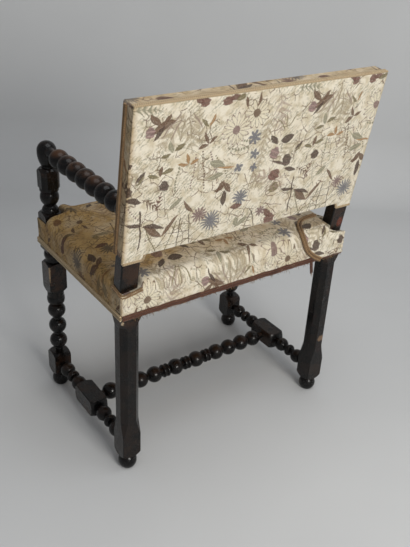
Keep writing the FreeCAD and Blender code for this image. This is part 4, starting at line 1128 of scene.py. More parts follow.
def build_floral_repeat(w, given):
    """The woven botanical pattern: colour of the threads and how far they stand up."""
    cloth = given["Cloth"]
    tremble = w.noise(cloth, 620.0, 1.0, colour=True)
    drift = w.noise(cloth, 34.0, 1.0, colour=True)
    shift = w.vector("MULTIPLY", w.vector("SUBTRACT", tremble, (0.5, 0.5, 0.5)), (0.0034, 0.0034, 0.0))
    sway = w.vector("MULTIPLY", w.vector("SUBTRACT", drift, (0.5, 0.5, 0.5)), (0.010, 0.010, 0.0))
    moved = w.vector("ADD", w.vector("ADD", cloth, shift), sway)
    wrapped = w.add("VectorMath", operation="WRAP")
    wrapped.inputs[1].default_value = (REPEAT_WIDE, REPEAT_LONG, 1.0)
    wrapped.inputs[2].default_value = (0.0, 0.0, -1.0)
    ground = w.blend(w.fade(w.noise(cloth, 55.0, 3.0), 0.42, 0.66), given["Ground"], given["Ground Shade"])
    feather = w.add("TexVoronoi", voronoi_dimensions="2D", feature="F1")
    w.feed(feather.inputs["Vector"], moved)
    feather.inputs["Scale"].default_value = 85.0
    strokes = w.vector("SUBTRACT", moved, feather.outputs["Position"])
    turned = w.add("VectorRotate", rotation_type="Z_AXIS")
    w.feed(turned.inputs["Vector"], strokes)
    w.feed(turned.inputs["Angle"], w.math("MULTIPLY", w.noise(moved, 16.0, 0.0), 9.0))
    part = w.split(turned.outputs["Vector"])
    length = w.math("ABSOLUTE", w.math("MULTIPLY", part[0], 190.0))
    blade = w.math("ADD", length, w.math("ABSOLUTE", w.math("MULTIPLY", part[1], 780.0)))
    where = w.fade(w.noise(moved, 21.0, 1.0), 0.44, 0.60)
    small = w.math("MULTIPLY", w.fade(blade, 1.0, 0.75), where)
    colour = w.blend(w.math("MULTIPLY", small, 0.80), ground, PALE_LEAF)
    fern = w.add("TexWave", wave_type="BANDS", bands_direction="DIAGONAL", wave_profile="SIN")
    w.feed(fern.inputs["Vector"], moved)
    fern.inputs["Scale"].default_value = 62.0
    fern.inputs["Distortion"].default_value = 9.0
    fern.inputs["Detail"].default_value = 3.0
    fern.inputs["Detail Scale"].default_value = 1.6
    fern.inputs["Detail Roughness"].default_value = 0.7
    ferns = w.math("MULTIPLY", w.fade(fern.outputs["Fac"], 0.62, 0.86), w.fade(w.noise(moved, 30.0, 2.0), 0.40, 0.58))
    colour = w.blend(w.math("MULTIPLY", ferns, 0.62), colour, GREY_GREEN)
    stems = w.add("TexVoronoi", voronoi_dimensions="2D", feature="DISTANCE_TO_EDGE")
    w.feed(stems.inputs["Vector"], w.vector("ADD", moved, sway))
    stems.inputs["Scale"].default_value = 46.0
    twigs = w.fade(stems.outputs["Distance"], 0.055, 0.025)
    twigs = w.math("MULTIPLY", twigs, w.fade(w.noise(moved, 26.0, 1.0), 0.50, 0.56))
    colour = w.blend(w.math("MULTIPLY", twigs, 0.75), colour, BROWN)
    thread = w.noise(w.vector("MULTIPLY", cloth, (900.0, 260.0, 1.0)), 1.0, 1.0)
    pulled = w.vector("MULTIPLY", colour, (0.0004, 0.0004, 0.0))
    w.feed(wrapped.inputs[0], w.vector("ADD", moved, pulled))
    cell = wrapped.outputs["Vector"]
    raised = small
    for kind, x, y, size, turn, tint, extra in MOTIFS:
        x, y, size, angle = x / 100, y / 100, size / 100, math.radians(turn)
        c, s = math.cos(angle) / size, math.sin(angle) / size
        pale = tint in (PALE_LEAF, PALE_MAUVE)
        lit = tuple(min(1.0, part * 1.9 + 0.05) for part in tint[:3]) + (1.0,)
        dark = tuple(part * 0.55 for part in tint[:3]) + (1.0,)
        shape = {"Wide": 0.2, "Count": 6.0, "Bend": 0.0}
        if kind in ("leaf", "line"):
            shape["Wide"], shape["Bend"] = extra
        elif kind in ("sprig", "beads"):
            shape["Wide"], shape["Count"], shape["Bend"] = extra
        elif kind in ("daisy", "thistle"):
            shape["Count"] = extra[0]
        line_tint = dark if kind == "thistle" or pale else lit
        paint = {"Tint": tint, "Line_Tint": line_tint, "Strength": 0.62 if pale else 0.92}
        if kind == "daisy":
            paint = {"Tint": srgb(224, 216, 192), "Line_Tint": tint, "Strength": 0.8}
        for place in copies_in_repeat(x, y, turn, size, kind):
            made = w.group(shared_group("motif_" + kind), Cloth=cell, Place=(*place, 0.0), Along=(c, s, 0.0),
                           Across=(-s, c, 0.0), Under=colour, Under_Raised=raised, **shape, **paint)
            colour, raised = made["Colour"], made["Raised"]
    flecks = w.math("MULTIPLY", w.fade(thread, 0.60, 0.72), raised)
    colour = w.blend(w.math("MULTIPLY", flecks, 0.45), colour, given["Ground"])
    pits = w.math("MULTIPLY", w.fade(thread, 0.42, 0.30), raised)
    colour = w.blend(w.math("MULTIPLY", pits, 0.35), colour, DARK_BROWN)
    return {"Colour": colour, "Raised": raised}


def build_weave(w, given):
    """Plain weave: fine over-and-under threads with slubs."""
    part = w.split(given["Cloth"])
    scale = given["Threads per Metre"]
    slub = w.noise(given["Cloth"], 140.0, 2.0)
    across = w.math("MULTIPLY", w.math("ADD", part[0], w.math("MULTIPLY", slub, 0.0007)), scale)
    along = w.math("MULTIPLY", w.math("ADD", part[1], w.math("MULTIPLY", slub, 0.0006)), scale)
    warp = w.math("SINE", w.math("MULTIPLY", across, math.pi))
    weft = w.math("SINE", w.math("MULTIPLY", along, math.pi))
    crossing = w.math("MULTIPLY", warp, weft)
    ribs = w.math("ADD", w.math("ABSOLUTE", warp), w.math("ABSOLUTE", weft))
    height = w.math("ADD", w.math("MULTIPLY", ribs, 0.4), w.math("MULTIPLY", crossing, 0.2))
    return {"Height": height, "Fine": w.fade(ribs, 0.2, 1.6)}


def build_stain(w, given):
    """Age and dirt: soft blotches with finer specks."""
    place = given["Place"]
    blotch = w.noise(place, given["Size"], 4.0, 0.6)
    speck = w.noise(place, w.math("MULTIPLY", given["Size"], 9.0), 2.0)
    soft = w.fade(blotch, 0.45, 0.78)
    both = w.math("MULTIPLY_ADD", w.fade(speck, 0.5, 0.8), 0.35, soft)
    return {"Mask": w.math("MULTIPLY", both, given["Amount"], clamp=True)}


def build_grain(w, given):
    """Wood grain that runs along one direction, with pores."""
    place = w.vector("MULTIPLY", given["Place"], given["Stretch"])
    wander = w.noise(given["Place"], 9.0, 2.0, colour=True)
    place = w.vector("ADD", place, w.vector("MULTIPLY", wander, (1.4, 1.4, 1.4)))
    bands = w.noise(place, 3.0, 5.0, 0.62)
    pores = w.fade(w.noise(place, 34.0, 1.0), 0.60, 0.70)
    return {"Bands": bands, "Pores": pores}


def build_wear(w, given):
    """Rubbed places: upward faces, arrises and random knocks."""
    geometry = w.add("NewGeometry")
    facing = w.split(geometry.outputs["Normal"])[2]
    patch = w.noise(given["Place"], given["Size"], 5.0, 0.65)
    up = w.math("MULTIPLY", w.fade(facing, 0.25, 0.95), w.fade(patch, 0.38, 0.62))
    edge = w.math("MULTIPLY", w.fade(geometry.outputs["Pointiness"], 0.52, 0.62), w.fade(patch, 0.40, 0.60))
    knock = w.fade(w.noise(given["Place"], 60.0, 3.0, 0.7), 0.64, 0.76)
    worn = w.math("MAXIMUM", w.math("MULTIPLY", up, given["Top Wear"]), w.math("MULTIPLY", edge, given["Edge Wear"]))
    worn = w.math("MAXIMUM", worn, w.math("MULTIPLY", knock, given["Knocks"]))
    return {"Worn": worn, "Patch": patch}


GROUPS = {}


def shared_group(name):
    """The shader node group of that name, built the first time that it is wanted."""
    if name not in GROUPS:
        inputs, outputs, build = GROUP_PLANS[name]
        GROUPS[name] = shader_group(name, inputs, outputs, build)
    return GROUPS[name]


GROUP_PLANS = {
    "floral_repeat": (
        (("Cloth", "vector", None), ("Ground", "colour", srgb(228, 220, 202)),
         ("Ground Shade", "colour", srgb(206, 194, 168))),
        (("Colour", "colour"), ("Raised", "value")), build_floral_repeat,
    ),
    "plain_weave": (
        (("Cloth", "vector", None), ("Threads per Metre", "value", 1300.0)),
        (("Height", "value"), ("Fine", "value")), build_weave,
    ),
    "age_stain": (
        (("Place", "vector", None), ("Size", "value", 9.0), ("Amount", "value", 0.5)),
        (("Mask", "value"),), build_stain,
    ),
    "wood_grain": (
        (("Place", "vector", None), ("Stretch", "vector", (60.0, 60.0, 4.0))),
        (("Bands", "value"), ("Pores", "value")), build_grain,
    ),
    "rubbed_wear": (
        (("Place", "vector", None), ("Size", "value", 22.0), ("Top Wear", "value", 0.3),
         ("Edge Wear", "value", 0.5), ("Knocks", "value", 0.3)),
        (("Worn", "value"), ("Patch", "value")), build_wear,
    ),
}
GROUP_PLANS.update({"motif_" + kind: motif_plan(kind) for kind in MOTIF_SHAPES})


def object_place(w):
    return w.add("TexCoord").outputs["Object"]


def cloth_place(w):
    return w.add("UVMap", uv_map="cloth").outputs["UV"]


def floral_cloth(name, offset, age_and_shade, dirt, turn=0.0):
    """The floral cover. Its third argument gives how far each point is darkened, partly by age and partly as painted
    shade.
    """
    made, w, shader = new_material(name, 0.86, 0.25)
    shader.inputs["Sheen Weight"].default_value = 0.12
    shader.inputs["Sheen Roughness"].default_value = 0.5
    cloth = w.vector("ADD", cloth_place(w), offset)
    if turn:
        turned = w.add("VectorRotate", rotation_type="Z_AXIS")
        w.feed(turned.inputs["Vector"], cloth)
        turned.inputs["Angle"].default_value = turn
        cloth = turned.outputs["Vector"]
    place = object_place(w)
    grounds = {"Ground": (*tints().cloth_ground, 1.0), "Ground_Shade": (*tints().cloth_shade, 1.0)}
    pattern = w.group(shared_group("floral_repeat"), Cloth=cloth, **grounds)
    weave = w.group(shared_group("plain_weave"), Cloth=cloth, Threads_per_Metre=1250.0)
    stain = w.group(shared_group("age_stain"), Place=place, Size=11.0, Amount=dirt)["Mask"]
    # The yellow-brown multiply paints age yellowing and painted shade together.
    aged_and_shaded = w.blend(age_and_shade(w, place), pattern["Colour"], srgb(186, 156, 104), "MULTIPLY")
    aged_and_shaded = w.blend(stain, aged_and_shaded, srgb(190, 165, 124), "MULTIPLY")
    fine = w.fade(weave["Fine"], 0.0, 1.0, 0.80, 1.04)
    colour = w.blend(1.0, aged_and_shaded, w.join(fine, fine, fine), "MULTIPLY")
    w.feed(shader.inputs["Base Color"], colour)
    height = w.math("MULTIPLY_ADD", pattern["Raised"], 0.5, w.math("MULTIPLY", weave["Height"], 0.6))
    w.feed(shader.inputs["Normal"], bumped(w, height, 0.0005, 0.8))
    return made


def back_yellowing_and_shade(w, place):
    """Age yellowing and painted shade of the back's cloth: its side edges and its padded front are darker, partly from
    age and partly as painted shade on faces turned from the light.
    """
    part = w.split(place)
    left = w.fade(part[0], BACK_X - 0.012, BACK_X + 0.002)
    right = w.fade(w.math("MULTIPLY", part[0], -1.0), BACK_X - 0.006, BACK_X + 0.002)
    rim = w.math("MAXIMUM", left, right)
    depth = w.math("ADD", part[1], w.math("MULTIPLY", part[2], -math.tan(RAKE)))
    front = w.fade(depth, STILE_REAR - 0.004, STILE_REAR - 0.012)
    blotch = w.fade(w.noise(place, 14.0, 3.0), 0.35, 0.75)
    # The rim and the front are darkened partly by age and partly as painted shade.
    amount = w.math("MAXIMUM", w.math("MULTIPLY", rim, 0.8), w.math("MULTIPLY", front, 0.7))
    return w.math("MULTIPLY_ADD", amount, w.math("MULTIPLY_ADD", blotch, 0.3, 0.7), 0.05, clamp=True)


def seat_yellowing_and_shade(w, place):
    """Age yellowing and painted shade of the seat's cloth: its top and its left side are darker than the rear, partly
    from age and partly as painted shade.
    """
    part = w.split(place)
    left = w.fade(part[0], -0.05, 0.30)
    upper = w.fade(part[1], CHAIR_Y + SEAT_Y - 0.004, CHAIR_Y + SEAT_Y - 0.06)
    blotch = w.fade(w.noise(place, 10.0, 4.0, 0.6), 0.35, 0.70)
    # Darker towards the left, over the top and on the left wall: painted shade over age yellowing.
    amount = w.math("MULTIPLY", w.math("MULTIPLY_ADD", left, 0.70, 0.45), upper)
    amount = w.math("MAXIMUM", amount, w.fade(part[0], SEAT_X - 0.006, SEAT_X - 0.001, 0.0, 0.75))
    return w.math("MULTIPLY_ADD", amount, w.math("MULTIPLY_ADD", blotch, 0.55, 0.65), 0.06, clamp=True)


def ebonised_wood(name, stretch, top_wear, worn_and_highlight_spots=()):
    """Dark stained and polished wood. Its last argument lists worn places as point, reach, strength and colour; the
    pale streaks among them also carry a painted highlight.
    """
    made, w, shader = new_material(name, 0.30, 0.22)
    shader.inputs["Coat Weight"].default_value = 0.14
    shader.inputs["Coat Roughness"].default_value = 0.12
    place = object_place(w)
    grain = w.group(shared_group("wood_grain"), Place=place, Stretch=stretch)
    wear = w.group(shared_group("rubbed_wear"), Place=place, Top_Wear=top_wear, Edge_Wear=0.30, Knocks=0.10)
    colour = w.blend(w.fade(grain["Bands"], 0.35, 0.68), (*tints().wood_dark, 1.0), (*tints().wood_light, 1.0))
    reddish = w.math("MULTIPLY", w.fade(w.noise(place, 30.0, 3.0), 0.58, 0.78), 0.26)
    colour = w.blend(reddish, colour, srgb(58, 30, 23))
    colour = w.blend(wear["Worn"], colour, srgb(104, 68, 42))
    # Pale places: wear, and on the arrises nearest the camera a painted highlight as well.
    for number, (point, reach, strength, tint) in enumerate(worn_and_highlight_spots):
        away = w.vector("SUBTRACT", place, tuple(point))
        away = w.vector("LENGTH", w.vector("MULTIPLY", away, tuple(1 / r for r in reach)))
        ragged = w.math("MULTIPLY_ADD", w.noise(place, 210.0 + 30.0 * number, 3.0), 1.6, away)
        colour = w.blend(w.math("MULTIPLY", w.fade(ragged, 1.75, 1.45), strength), colour, tint)
    colour = w.blend(w.math("MULTIPLY", grain["Pores"], 0.55), colour, srgb(10, 8, 7))
    dust = w.group(shared_group("age_stain"), Place=place, Size=34.0, Amount=0.035)["Mask"]
    colour = w.blend(dust, colour, srgb(104, 92, 80))
    w.feed(shader.inputs["Base Color"], colour)
    rough = w.fade(wear["Patch"], 0.3, 0.7, 0.18, 0.38)
    rough = w.math("ADD", rough, w.math("MULTIPLY", grain["Pores"], 0.18), clamp=True)
    w.feed(shader.inputs["Roughness"], rough)
    height = w.math("MULTIPLY_ADD", grain["Pores"], -0.6, w.math("MULTIPLY", w.noise(place, 46.0, 4.0, 0.6), 0.8))
    w.feed(shader.inputs["Normal"], bumped(w, height, 0.0011, 0.55))
    return made


def plain_wood(name):
    """Pale unfinished beech of the hidden rails."""
    made, w, shader = new_material(name, 0.62, 0.35)
    place = object_place(w)
    grain = w.group(shared_group("wood_grain"), Place=place, Stretch=(5.0, 55.0, 55.0))
    colour = w.blend(w.fade(grain["Bands"], 0.3, 0.7), srgb(168, 128, 84), srgb(120, 84, 52))
    colour = w.blend(w.math("MULTIPLY", grain["Pores"], 0.5), colour, srgb(82, 56, 34))
    dust = w.group(shared_group("age_stain"), Place=place, Size=14.0, Amount=0.5)["Mask"]
    colour = w.blend(dust, colour, srgb(92, 74, 56))
    w.feed(shader.inputs["Base Color"], colour)
    w.feed(shader.inputs["Roughness"], w.fade(grain["Bands"], 0.3, 0.7, 0.5, 0.75))
    w.feed(shader.inputs["Normal"], bumped(w, grain["Bands"], 0.0006, 0.5))
    return made


def jute(name, threads, light, dark, stripes=False):
    """Coarse jute, for the webs and the hessian."""
    made, w, shader = new_material(name, 0.92, 0.15)
    cloth = cloth_place(w)
    weave = w.group(shared_group("plain_weave"), Cloth=cloth, Threads_per_Metre=threads)
    colour = w.blend(weave["Fine"], dark, light)
    if stripes:
        across = w.split(cloth)[1]
        edge = w.math("ABSOLUTE", across)
        band = w.math("MULTIPLY", w.fade(edge, 0.0160, 0.0166), w.fade(edge, 0.0195, 0.0189))
        colour = w.blend(w.math("MULTIPLY", band, 0.75), colour, srgb(70, 50, 36))
    stain = w.group(shared_group("age_stain"), Place=object_place(w), Size=16.0, Amount=0.45)["Mask"]
    colour = w.blend(stain, colour, srgb(120, 96, 66), "MULTIPLY")
    w.feed(shader.inputs["Base Color"], colour)
    w.feed(shader.inputs["Normal"], bumped(w, weave["Height"], 0.0006, 1.0))
    return made


def cord_material(name, light, dark, seam, fuzz=0.3):
    """Twisted cotton cord. The first UV runs along it and the second across its two ropes."""
    made, w, shader = new_material(name, 0.78, 0.25)
    shader.inputs["Sheen Weight"].default_value = 0.15
    part = w.split(cloth_place(w))
    place = object_place(w)
    twist = w.math("SINE", w.math("MULTIPLY_ADD", part[0], 2 * math.pi / 0.0021, w.math("MULTIPLY", part[1], 9.0)))
    groove = w.fade(w.math("ABSOLUTE", w.math("SUBTRACT", part[1], 1.0)), 0.20, 0.04)
    dashes = w.math("SINE", w.math("MULTIPLY", part[0], 2 * math.pi / 0.0042))
    stitches = w.math("MULTIPLY", groove, w.fade(dashes, -0.5, 0.3))
    patch = w.noise(place, 30.0, 3.0)
    # The blend from the dark to the light colour along the twist is painted shading of the rounded strands.
    colour = w.blend(w.fade(twist, -0.7, 0.6), dark, light)
    colour = w.blend(w.math("MULTIPLY", w.fade(patch, 0.5, 0.75), fuzz), colour, dark)
    colour = w.blend(w.math("MULTIPLY", stitches, 0.85), colour, seam)
    fray = w.fade(w.noise(place, 420.0, 2.0), 0.62, 0.74)
    colour = w.blend(w.math("MULTIPLY", fray, 0.30), colour, srgb(214, 196, 160))
    w.feed(shader.inputs["Base Color"], colour)
    height = w.math("MULTIPLY_ADD", w.noise(place, 900.0, 2.0), 0.6, w.math("MULTIPLY", twist, 0.3))
    w.feed(shader.inputs["Normal"], bumped(w, height, 0.0005, 0.8))
    return made


def thread_material(name, light, dark):
    """Loose thread ends."""
    made, w, shader = new_material(name, 0.8, 0.2)
    place = object_place(w)
    colour = w.blend(w.fade(w.noise(place, 160.0, 1.0), 0.35, 0.65), dark, light)
    w.feed(shader.inputs["Base Color"], colour)
    return made


def studio_surface(name, colour):
    """The plain floor and wall, which let the camera see through them from behind."""
    made, w, shader = new_material(name, 0.9, 0.2)
    place = object_place(w)
    soft = w.noise(place, 1.2, 3.0)
    tint = w.blend(w.fade(soft, 0.3, 0.7), colour, tuple(part * 0.94 for part in colour[:3]) + (1.0,))
    w.feed(shader.inputs["Base Color"], tint)
    clear = w.add("BsdfTransparent")
    mixed = w.add("MixShader")
    w.feed(mixed.inputs[0], w.add("NewGeometry").outputs["Backfacing"])
    w.feed(mixed.inputs[1], shader.outputs[0])
    w.feed(mixed.inputs[2], clear.outputs[0])
    w.feed(made.node_tree.nodes["Material Output"].inputs["Surface"], mixed.outputs[0])
    return made


def dress(piece, material):
    piece.data.materials.clear()
    piece.data.materials.append(material)
    return piece


def finish_node(name, material):
    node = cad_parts[name]
    for slot in range(max(1, len(node.material_slots))):
        if slot < len(node.material_slots):
            node.material_slots[slot].material = material
        else:
            node.data.materials.append(material)


# A pale colour for worn wood, which on the arrises also stands for a painted highlight.
PALE_CHIP_AND_HIGHLIGHT = srgb(196, 176, 146)
# Places on the posts: point, reach, strength and colour. The first two are pale streaks on the arrises nearest the
# camera: worn edges that also carry a painted highlight.
WORN_AND_HIGHLIGHT_SPOTS = (
    (stand(OUTER_X + 0.001, OUTER_Y - 0.001, 0.402), (0.006, 0.006, 0.014), 0.9, PALE_CHIP_AND_HIGHLIGHT),
    (stand(OUTER_X, -POST_Y + POST_SIDE / 2, 0.350), (0.004, 0.004, 0.034), 0.75, srgb(176, 150, 118)),
    (stand(-OUTER_X + 0.02, OUTER_Y, 0.170), (0.012, 0.006, 0.012), 0.5, srgb(150, 120, 92)),
    (stand(-OUTER_X + 0.012, OUTER_Y - 0.004, 0.500), (0.010, 0.010, 0.016), 0.6, srgb(120, 56, 34)),
)


class ARMCHAIR_OT_frame(bpy.types.Operator):
    """Finish the ebonised frame and the plain rails inside the upholstery"""
    bl_idname = "armchair.frame"
    bl_label = "Finish Frame"

    def execute(self, context):
        upright = ebonised_wood("ebonised_upright", (60.0, 60.0, 4.0), 0.08, WORN_AND_HIGHLIGHT_SPOTS)
        lengthwise = ebonised_wood("ebonised_lengthwise", (60.0, 4.0, 60.0), 0.14)
        crosswise = ebonised_wood("ebonised_crosswise", (4.0, 60.0, 60.0), 0.14)
        arms = ebonised_wood("ebonised_arm", (60.0, 4.0, 60.0), 0.52)
        plain = plain_wood("plain_rail_wood")
        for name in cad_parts:
            if "post" in name:
                finish_node(name, upright)
            elif name.startswith("arm_"):
                finish_node(name, arms)
            elif name.startswith("side_stretcher"):
                finish_node(name, lengthwise)
            elif name == "cross_stretcher":
                finish_node(name, crosswise)
            elif "rail" in name or "pegs" in name:
                finish_node(name, plain)
        return {"FINISHED"}


class ARMCHAIR_OT_supports(bpy.types.Operator):
    """Weave the jute webs and lay the hessian of the seat and the back"""
    bl_idname = "armchair.supports"
    bl_label = "Make Webs and Hessian"

    def execute(self, context):
        web = jute("jute_web", 620.0, srgb(182, 150, 102), srgb(122, 94, 58), stripes=True)
        hessian = jute("hessian_weave", 480.0, srgb(170, 138, 92), srgb(96, 72, 44))
        for piece, node in ((seat_webs(), "seat_webbing"), (back_webs(), "back_webbing")):
            dress(piece, web)
            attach(piece, "root")
            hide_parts(node)
        seat = notched_hessian()
        reach_x = OUTER_X - 0.052
        low, high = BACK_LOW + 0.017, BACK_HIGH - 0.017
        normal = lean(0, -1.0, 0) - lean(0, 0, 0)
        sheet_depth = -0.0345
        places = ((-reach_x, low), (reach_x, low), (reach_x, high), (-reach_x, high))
        corners = [lean(x, sheet_depth, up) for x, up in places]
        back = hessian_sheet("back_hessian_sheet", corners, normal, 0.0008)
        for piece, node in ((seat, "seat_hessian"), (back, "back_hessian")):
            dress(piece, hessian)
            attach(piece, "root")
            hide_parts(node)
        return {"FINISHED"}


class ARMCHAIR_OT_seat(bpy.types.Operator):
    """Make the stuffed seat in its floral cover"""
    bl_idname = "armchair.seat"
    bl_label = "Make Seat"

    def execute(self, context):
        piece = seat_cushion()
        dress(piece, floral_cloth("floral_cloth_seat", (0.10, 0.05, 0.0), seat_yellowing_and_shade, 0.55))
        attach(piece, "root")
        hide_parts("seat_cover", "seat_stuffing")
        patch = dress(leg_patch(), floral_cloth("floral_cloth_patch", (0.45, -0.30, 0.0), back_yellowing_and_shade, 0.30))
        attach(patch, "root")
        return {"FINISHED"}


class ARMCHAIR_OT_back(bpy.types.Operator):
    """Make the padded back and the cloth that closes it behind"""
    bl_idname = "armchair.back"
    bl_label = "Make Back"

    def execute(self, context):
        cloth = floral_cloth("floral_cloth_back", (0.308, -0.078, 0.0), back_yellowing_and_shade, 0.18)
        front = floral_cloth("floral_cloth_front", (0.12, 0.235, 0.0), back_yellowing_and_shade, 0.35)
        pad = dress(back_cushion(), front)
        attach(pad, "root")
        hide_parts("back_front_cover", "back_stuffing")
        panel = dress(back_panel(), cloth)
        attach(panel, "root")
        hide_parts("back_outside_cover")
        return {"FINISHED"}


def gimp_along(name, path, normal, node, material, width=None, height=None, seed=1, loose=0.0002):
    """A braid along a path, with its material and the CAD node that it replaces, if any."""
    width = width or sizes().gimp_width
    height = height or sizes().gimp_height
    piece = braid_mesh(name, path, normal, width, height, sizes().twist_pitch, seed=seed, loose=loose)
    dress(piece, material)
    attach(piece, "root")
    if node:
        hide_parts(node)
    return piece


class ARMCHAIR_OT_gimps(bpy.types.Operator):
    """Lay the double cords and the frayed braid along the edges of the cloth"""
    bl_idname = "armchair.gimps"
    bl_label = "Make Gimps and Braid"

    def execute(self, context):
        look = tints()
        beige = cord_material("gimp_beige", (*look.gimp_light, 1.0), (*look.gimp_dark, 1.0), srgb(106, 68, 42))
        brown = cord_material("gimp_brown", (*look.cord_light, 1.0), (*look.cord_dark, 1.0), srgb(74, 46, 28), 0.5)
        rust = cord_material("braid_rust", (*look.braid_light, 1.0), (*look.braid_dark, 1.0), srgb(44, 24, 18), 0.5)
        frayed = thread_material("frayed_ends", (*look.cord_light, 1.0), (*look.braid_dark, 1.0))
        low = SEAT_LOW + 0.0055
        for side, word in ((1, "left"), (-1, "right")):
            path = [stand(side * SEAT_X, -SEAT_Y + 0.002, low), stand(side * SEAT_X, SEAT_Y - 0.002, low)]
            gimp_along("seat_cord_" + word, path, (side, 0, 0), "seat_gimp_" + word, beige, seed=3)
        path = [stand(-SEAT_X + 0.002, -SEAT_Y, low), stand(SEAT_X - 0.002, -SEAT_Y, low)]
        gimp_along("seat_cord_front", path, (0, -1, 0), "seat_gimp_front", beige, seed=4)
        path = [stand(-SEAT_X + 0.002, SEAT_Y, low), stand(SEAT_X - 0.002, SEAT_Y, low)]
        gimp_along("seat_edge_braid", path, (0, 1, 0), "seat_braid_rear", rust,
                   height=0.0026, seed=5, loose=0.0007)
        top, bottom = BACK_HIGH - 0.001, BACK_LOW + 0.001
        for side, word, material, slot in ((1, "left", brown, "brown_gimp"), (-1, "right", beige, "beige_gimp")):
            path = [lean(side * BACK_X, -0.0235, bottom), lean(side * BACK_X, -0.0235, top)]
            gimp_along("back_cord_" + word, path, (side, 0, 0), "back_gimp_" + word, material,
                       width=0.011, seed=6)
        up = lean(0, 0, 1.0) - lean(0, 0, 0)
        path = [lean(-BACK_X + 0.001, -0.0035, BACK_HIGH + 0.0022), lean(BACK_X - 0.001, -0.0035, BACK_HIGH + 0.0022)]
        gimp_along("back_cord_top", path, up, "back_gimp_top", beige, width=0.0125, height=0.0028, seed=7)
        behind = lean(0, 1.0, 0) - lean(0, 0, 0)
        for side, word in ((1, "left"), (-1, "right")):
            tab = BACK_LOW - 0.0095
            places = ((BACK_X - 0.002, tab), (OUTER_X - STILE_WIDTH, tab), (OUTER_X - 0.0465, BACK_LOW + 0.002))
            path = rounded_path([lean(side * x, 0.0032, up) for x, up in places], 0.004)
            gimp_along("tab_cord_" + word, path, behind, "back_gimp_bottom", beige,
                       width=0.0055, height=0.0018, seed=8)
        path, normals = patch_edge()
        gimp_along("patch_cord", path, normals, None, brown, width=0.0130, height=0.0050, seed=9)
        places = (
            (OUTER_X + 0.0006, POST_Y - 0.014, 0.0175), (OUTER_X + 0.0006, OUTER_Y, 0.0090),
            (OUTER_X - 0.006, OUTER_Y + 0.0010, 0.0080), (OUTER_X - 0.046, OUTER_Y + 0.0010, 0.0150),
        )
        path = rounded_path([stand(x, y, RAIL_TOP + up) for x, y, up in places], 0.004)
        gimp_along("scooped_edge_cord", path, (0.55, 0.70, 0.45), None, brown,
                   width=0.0080, height=0.0030, seed=10)
        path = [stand(-0.204, SEAT_Y + 0.0012, SEAT_LOW + 0.004), stand(-0.206, SEAT_Y + 0.0024, SEAT_LOW - 0.014),
                stand(-0.210, SEAT_Y + 0.0012, SEAT_LOW - 0.030)]
        gimp_along("hanging_braid_end", path, (0, 1, 0), None, rust, width=0.0080, height=0.0024, seed=11)
        rear = np.stack([stand(x, SEAT_Y + 0.0010, SEAT_LOW + 0.0012) for x in np.linspace(-SEAT_X, SEAT_X, 60)])
        edge = np.stack([lean(BACK_X + 0.0010, -0.0190, up) for up in np.linspace(BACK_LOW, BACK_HIGH, 40)])
        steps = np.linspace(-0.004, 0.004, 4)
        end = np.stack([stand(-0.210, SEAT_Y + 0.0012, SEAT_LOW - 0.026 + step) for step in steps])
        for name, line, out, count, length, seed in (
            ("braid_frays", rear, (0, 0.8, -0.6), 220, 0.0085, 3),
            ("back_frays", edge, (0.8, 0.4, 0), 90, 0.0060, 5),
            ("hanging_frays", end, (0.2, 0.5, -1.0), 26, 0.0110, 7),
        ):
            piece = dress(loose_threads(name, line, out, count, length, 0.00055, seed), frayed)
            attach(piece, "root")
        return {"FINISHED"}


def view_matrix(azimuth, elevation, roll):
    flat = math.cos(elevation)
    back = Vector((math.sin(azimuth) * flat, -math.cos(azimuth) * flat, math.sin(elevation)))
    right = Vector((0, 0, 1)).cross(back).normalized()
    up = back.cross(right)
    c, s = math.cos(roll), math.sin(roll)
    return Matrix((c * right + s * up, -s * right + c * up, back)).transposed()


def area_lamp(name, place, aim, size, power, colour):
    lamp = bpy.data.lights.new(name, "AREA")
    lamp.shape = "DISK"
    lamp.size = size
    lamp.energy = power
    lamp.color = colour
    made = bpy.data.objects.new(name, lamp)
    made.location = place
    made.rotation_euler = (Vector(aim) - Vector(place)).to_track_quat("-Z", "Y").to_euler()
    bpy.context.collection.objects.link(made)
    return made


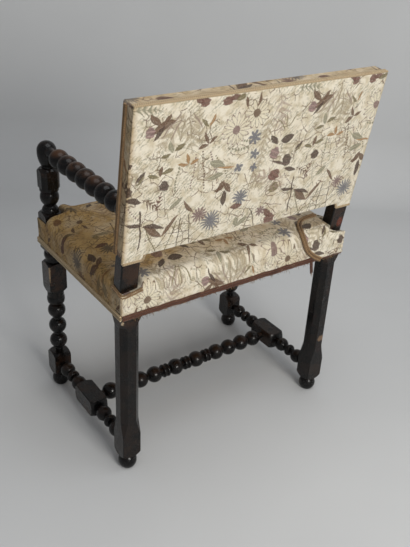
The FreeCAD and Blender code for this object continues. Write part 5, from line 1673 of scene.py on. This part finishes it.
class ARMCHAIR_OT_stage(bpy.types.Operator):
    """Set up the pale floor, the backdrop, the soft lamps and the camera"""
    bl_idname = "armchair.stage"
    bl_label = "Set Stage"

    def execute(self, context):
        look = studio()
        steps, half_width = 40, 4.0
        near_edge, wall_foot, bend, wall_top = -3.0, 1.25, 0.25, 3.5
        profile = [(near_edge, 0.0), (wall_foot, 0.0)]
        for step in range(steps + 1):
            turn = math.pi / 2 * step / steps
            profile.append((wall_foot + bend * math.sin(turn), bend * (1 - math.cos(turn))))
        profile.append((wall_foot + bend, wall_top))
        away = Vector((-math.sin(look.camera_turn[0]), math.cos(look.camera_turn[0]), 0))
        across = Vector((-away.y, away.x, 0))
        points, faces = [], []
        for out, up in profile:
            for side in (-half_width, half_width):
                p = away * out + across * side
                points.append((p.x, p.y, up))
        for i in range(len(profile) - 1):
            faces.append((2 * i, 2 * i + 2, 2 * i + 3, 2 * i + 1))
        cove = new_object("studio_floor", points, faces)
        dress(cove, studio_surface("studio_floor", (*look.floor_colour, 1.0)))
        camera = bpy.data.cameras.new("view_camera")
        camera.sensor_width = 36.0
        camera.lens = look.focal_length
        made = bpy.data.objects.new("view_camera", camera)
        place = look.camera_place
        turn = view_matrix(*look.camera_turn)
        made.matrix_world = Matrix.Translation((place[0], place[1] + CHAIR_Y, place[2])) @ turn.to_4x4()
        bpy.context.collection.objects.link(made)
        context.scene.camera = made
        area_lamp("key_lamp", (0.25, 2.9, 1.6), (0, 0, 0.5), 1.2, 60, (1.0, 0.98, 0.94))
        area_lamp("top_lamp", (-0.2, 0.6, 2.9), (0, 0, 0.3), 2.2, 28, (0.97, 0.985, 1.0))
        world = bpy.data.worlds.new("studio_air")
        world.use_nodes = True
        world.node_tree.nodes["Background"].inputs["Color"].default_value = (0.82, 0.84, 0.88, 1)
        world.node_tree.nodes["Background"].inputs["Strength"].default_value = 0.30
        context.scene.world = world
        context.scene.view_settings.view_transform = "Standard"
        return {"FINISHED"}


class ARMCHAIR_PT_panel(bpy.types.Panel):
    bl_label = "Bobbin-turned Armchair"
    bl_idname = "ARMCHAIR_PT_panel"
    bl_space_type = "VIEW_3D"
    bl_region_type = "UI"
    bl_category = "Armchair"

    def draw(self, context):
        for group in (context.scene.armchair_sizes, context.scene.armchair_colours, context.scene.armchair_studio):
            column = self.layout.column(align=True)
            for name in group.__annotations__:
                column.prop(group, name)
        for kind in OPERATORS:
            self.layout.operator(kind.bl_idname)


OPERATORS = (
    ARMCHAIR_OT_frame,
    ARMCHAIR_OT_supports,
    ARMCHAIR_OT_seat,
    ARMCHAIR_OT_back,
    ARMCHAIR_OT_gimps,
    ARMCHAIR_OT_stage,
)
CLASSES = (ArmchairSizes, ArmchairColours, ArmchairStudio, *OPERATORS, ARMCHAIR_PT_panel)


def register():
    for kind in CLASSES:
        bpy.utils.register_class(kind)
    bpy.types.Scene.armchair_sizes = bpy.props.PointerProperty(type=ArmchairSizes)
    bpy.types.Scene.armchair_colours = bpy.props.PointerProperty(type=ArmchairColours)
    bpy.types.Scene.armchair_studio = bpy.props.PointerProperty(type=ArmchairStudio)


def unregister():
    del bpy.types.Scene.armchair_studio
    del bpy.types.Scene.armchair_colours
    del bpy.types.Scene.armchair_sizes
    for kind in reversed(CLASSES):
        bpy.utils.unregister_class(kind)


def main():
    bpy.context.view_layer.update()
    register()
    for kind in OPERATORS:
        word = kind.bl_idname.split(".")[1]
        getattr(bpy.ops.armchair, word)()


if __name__ == "__main__":
    main()
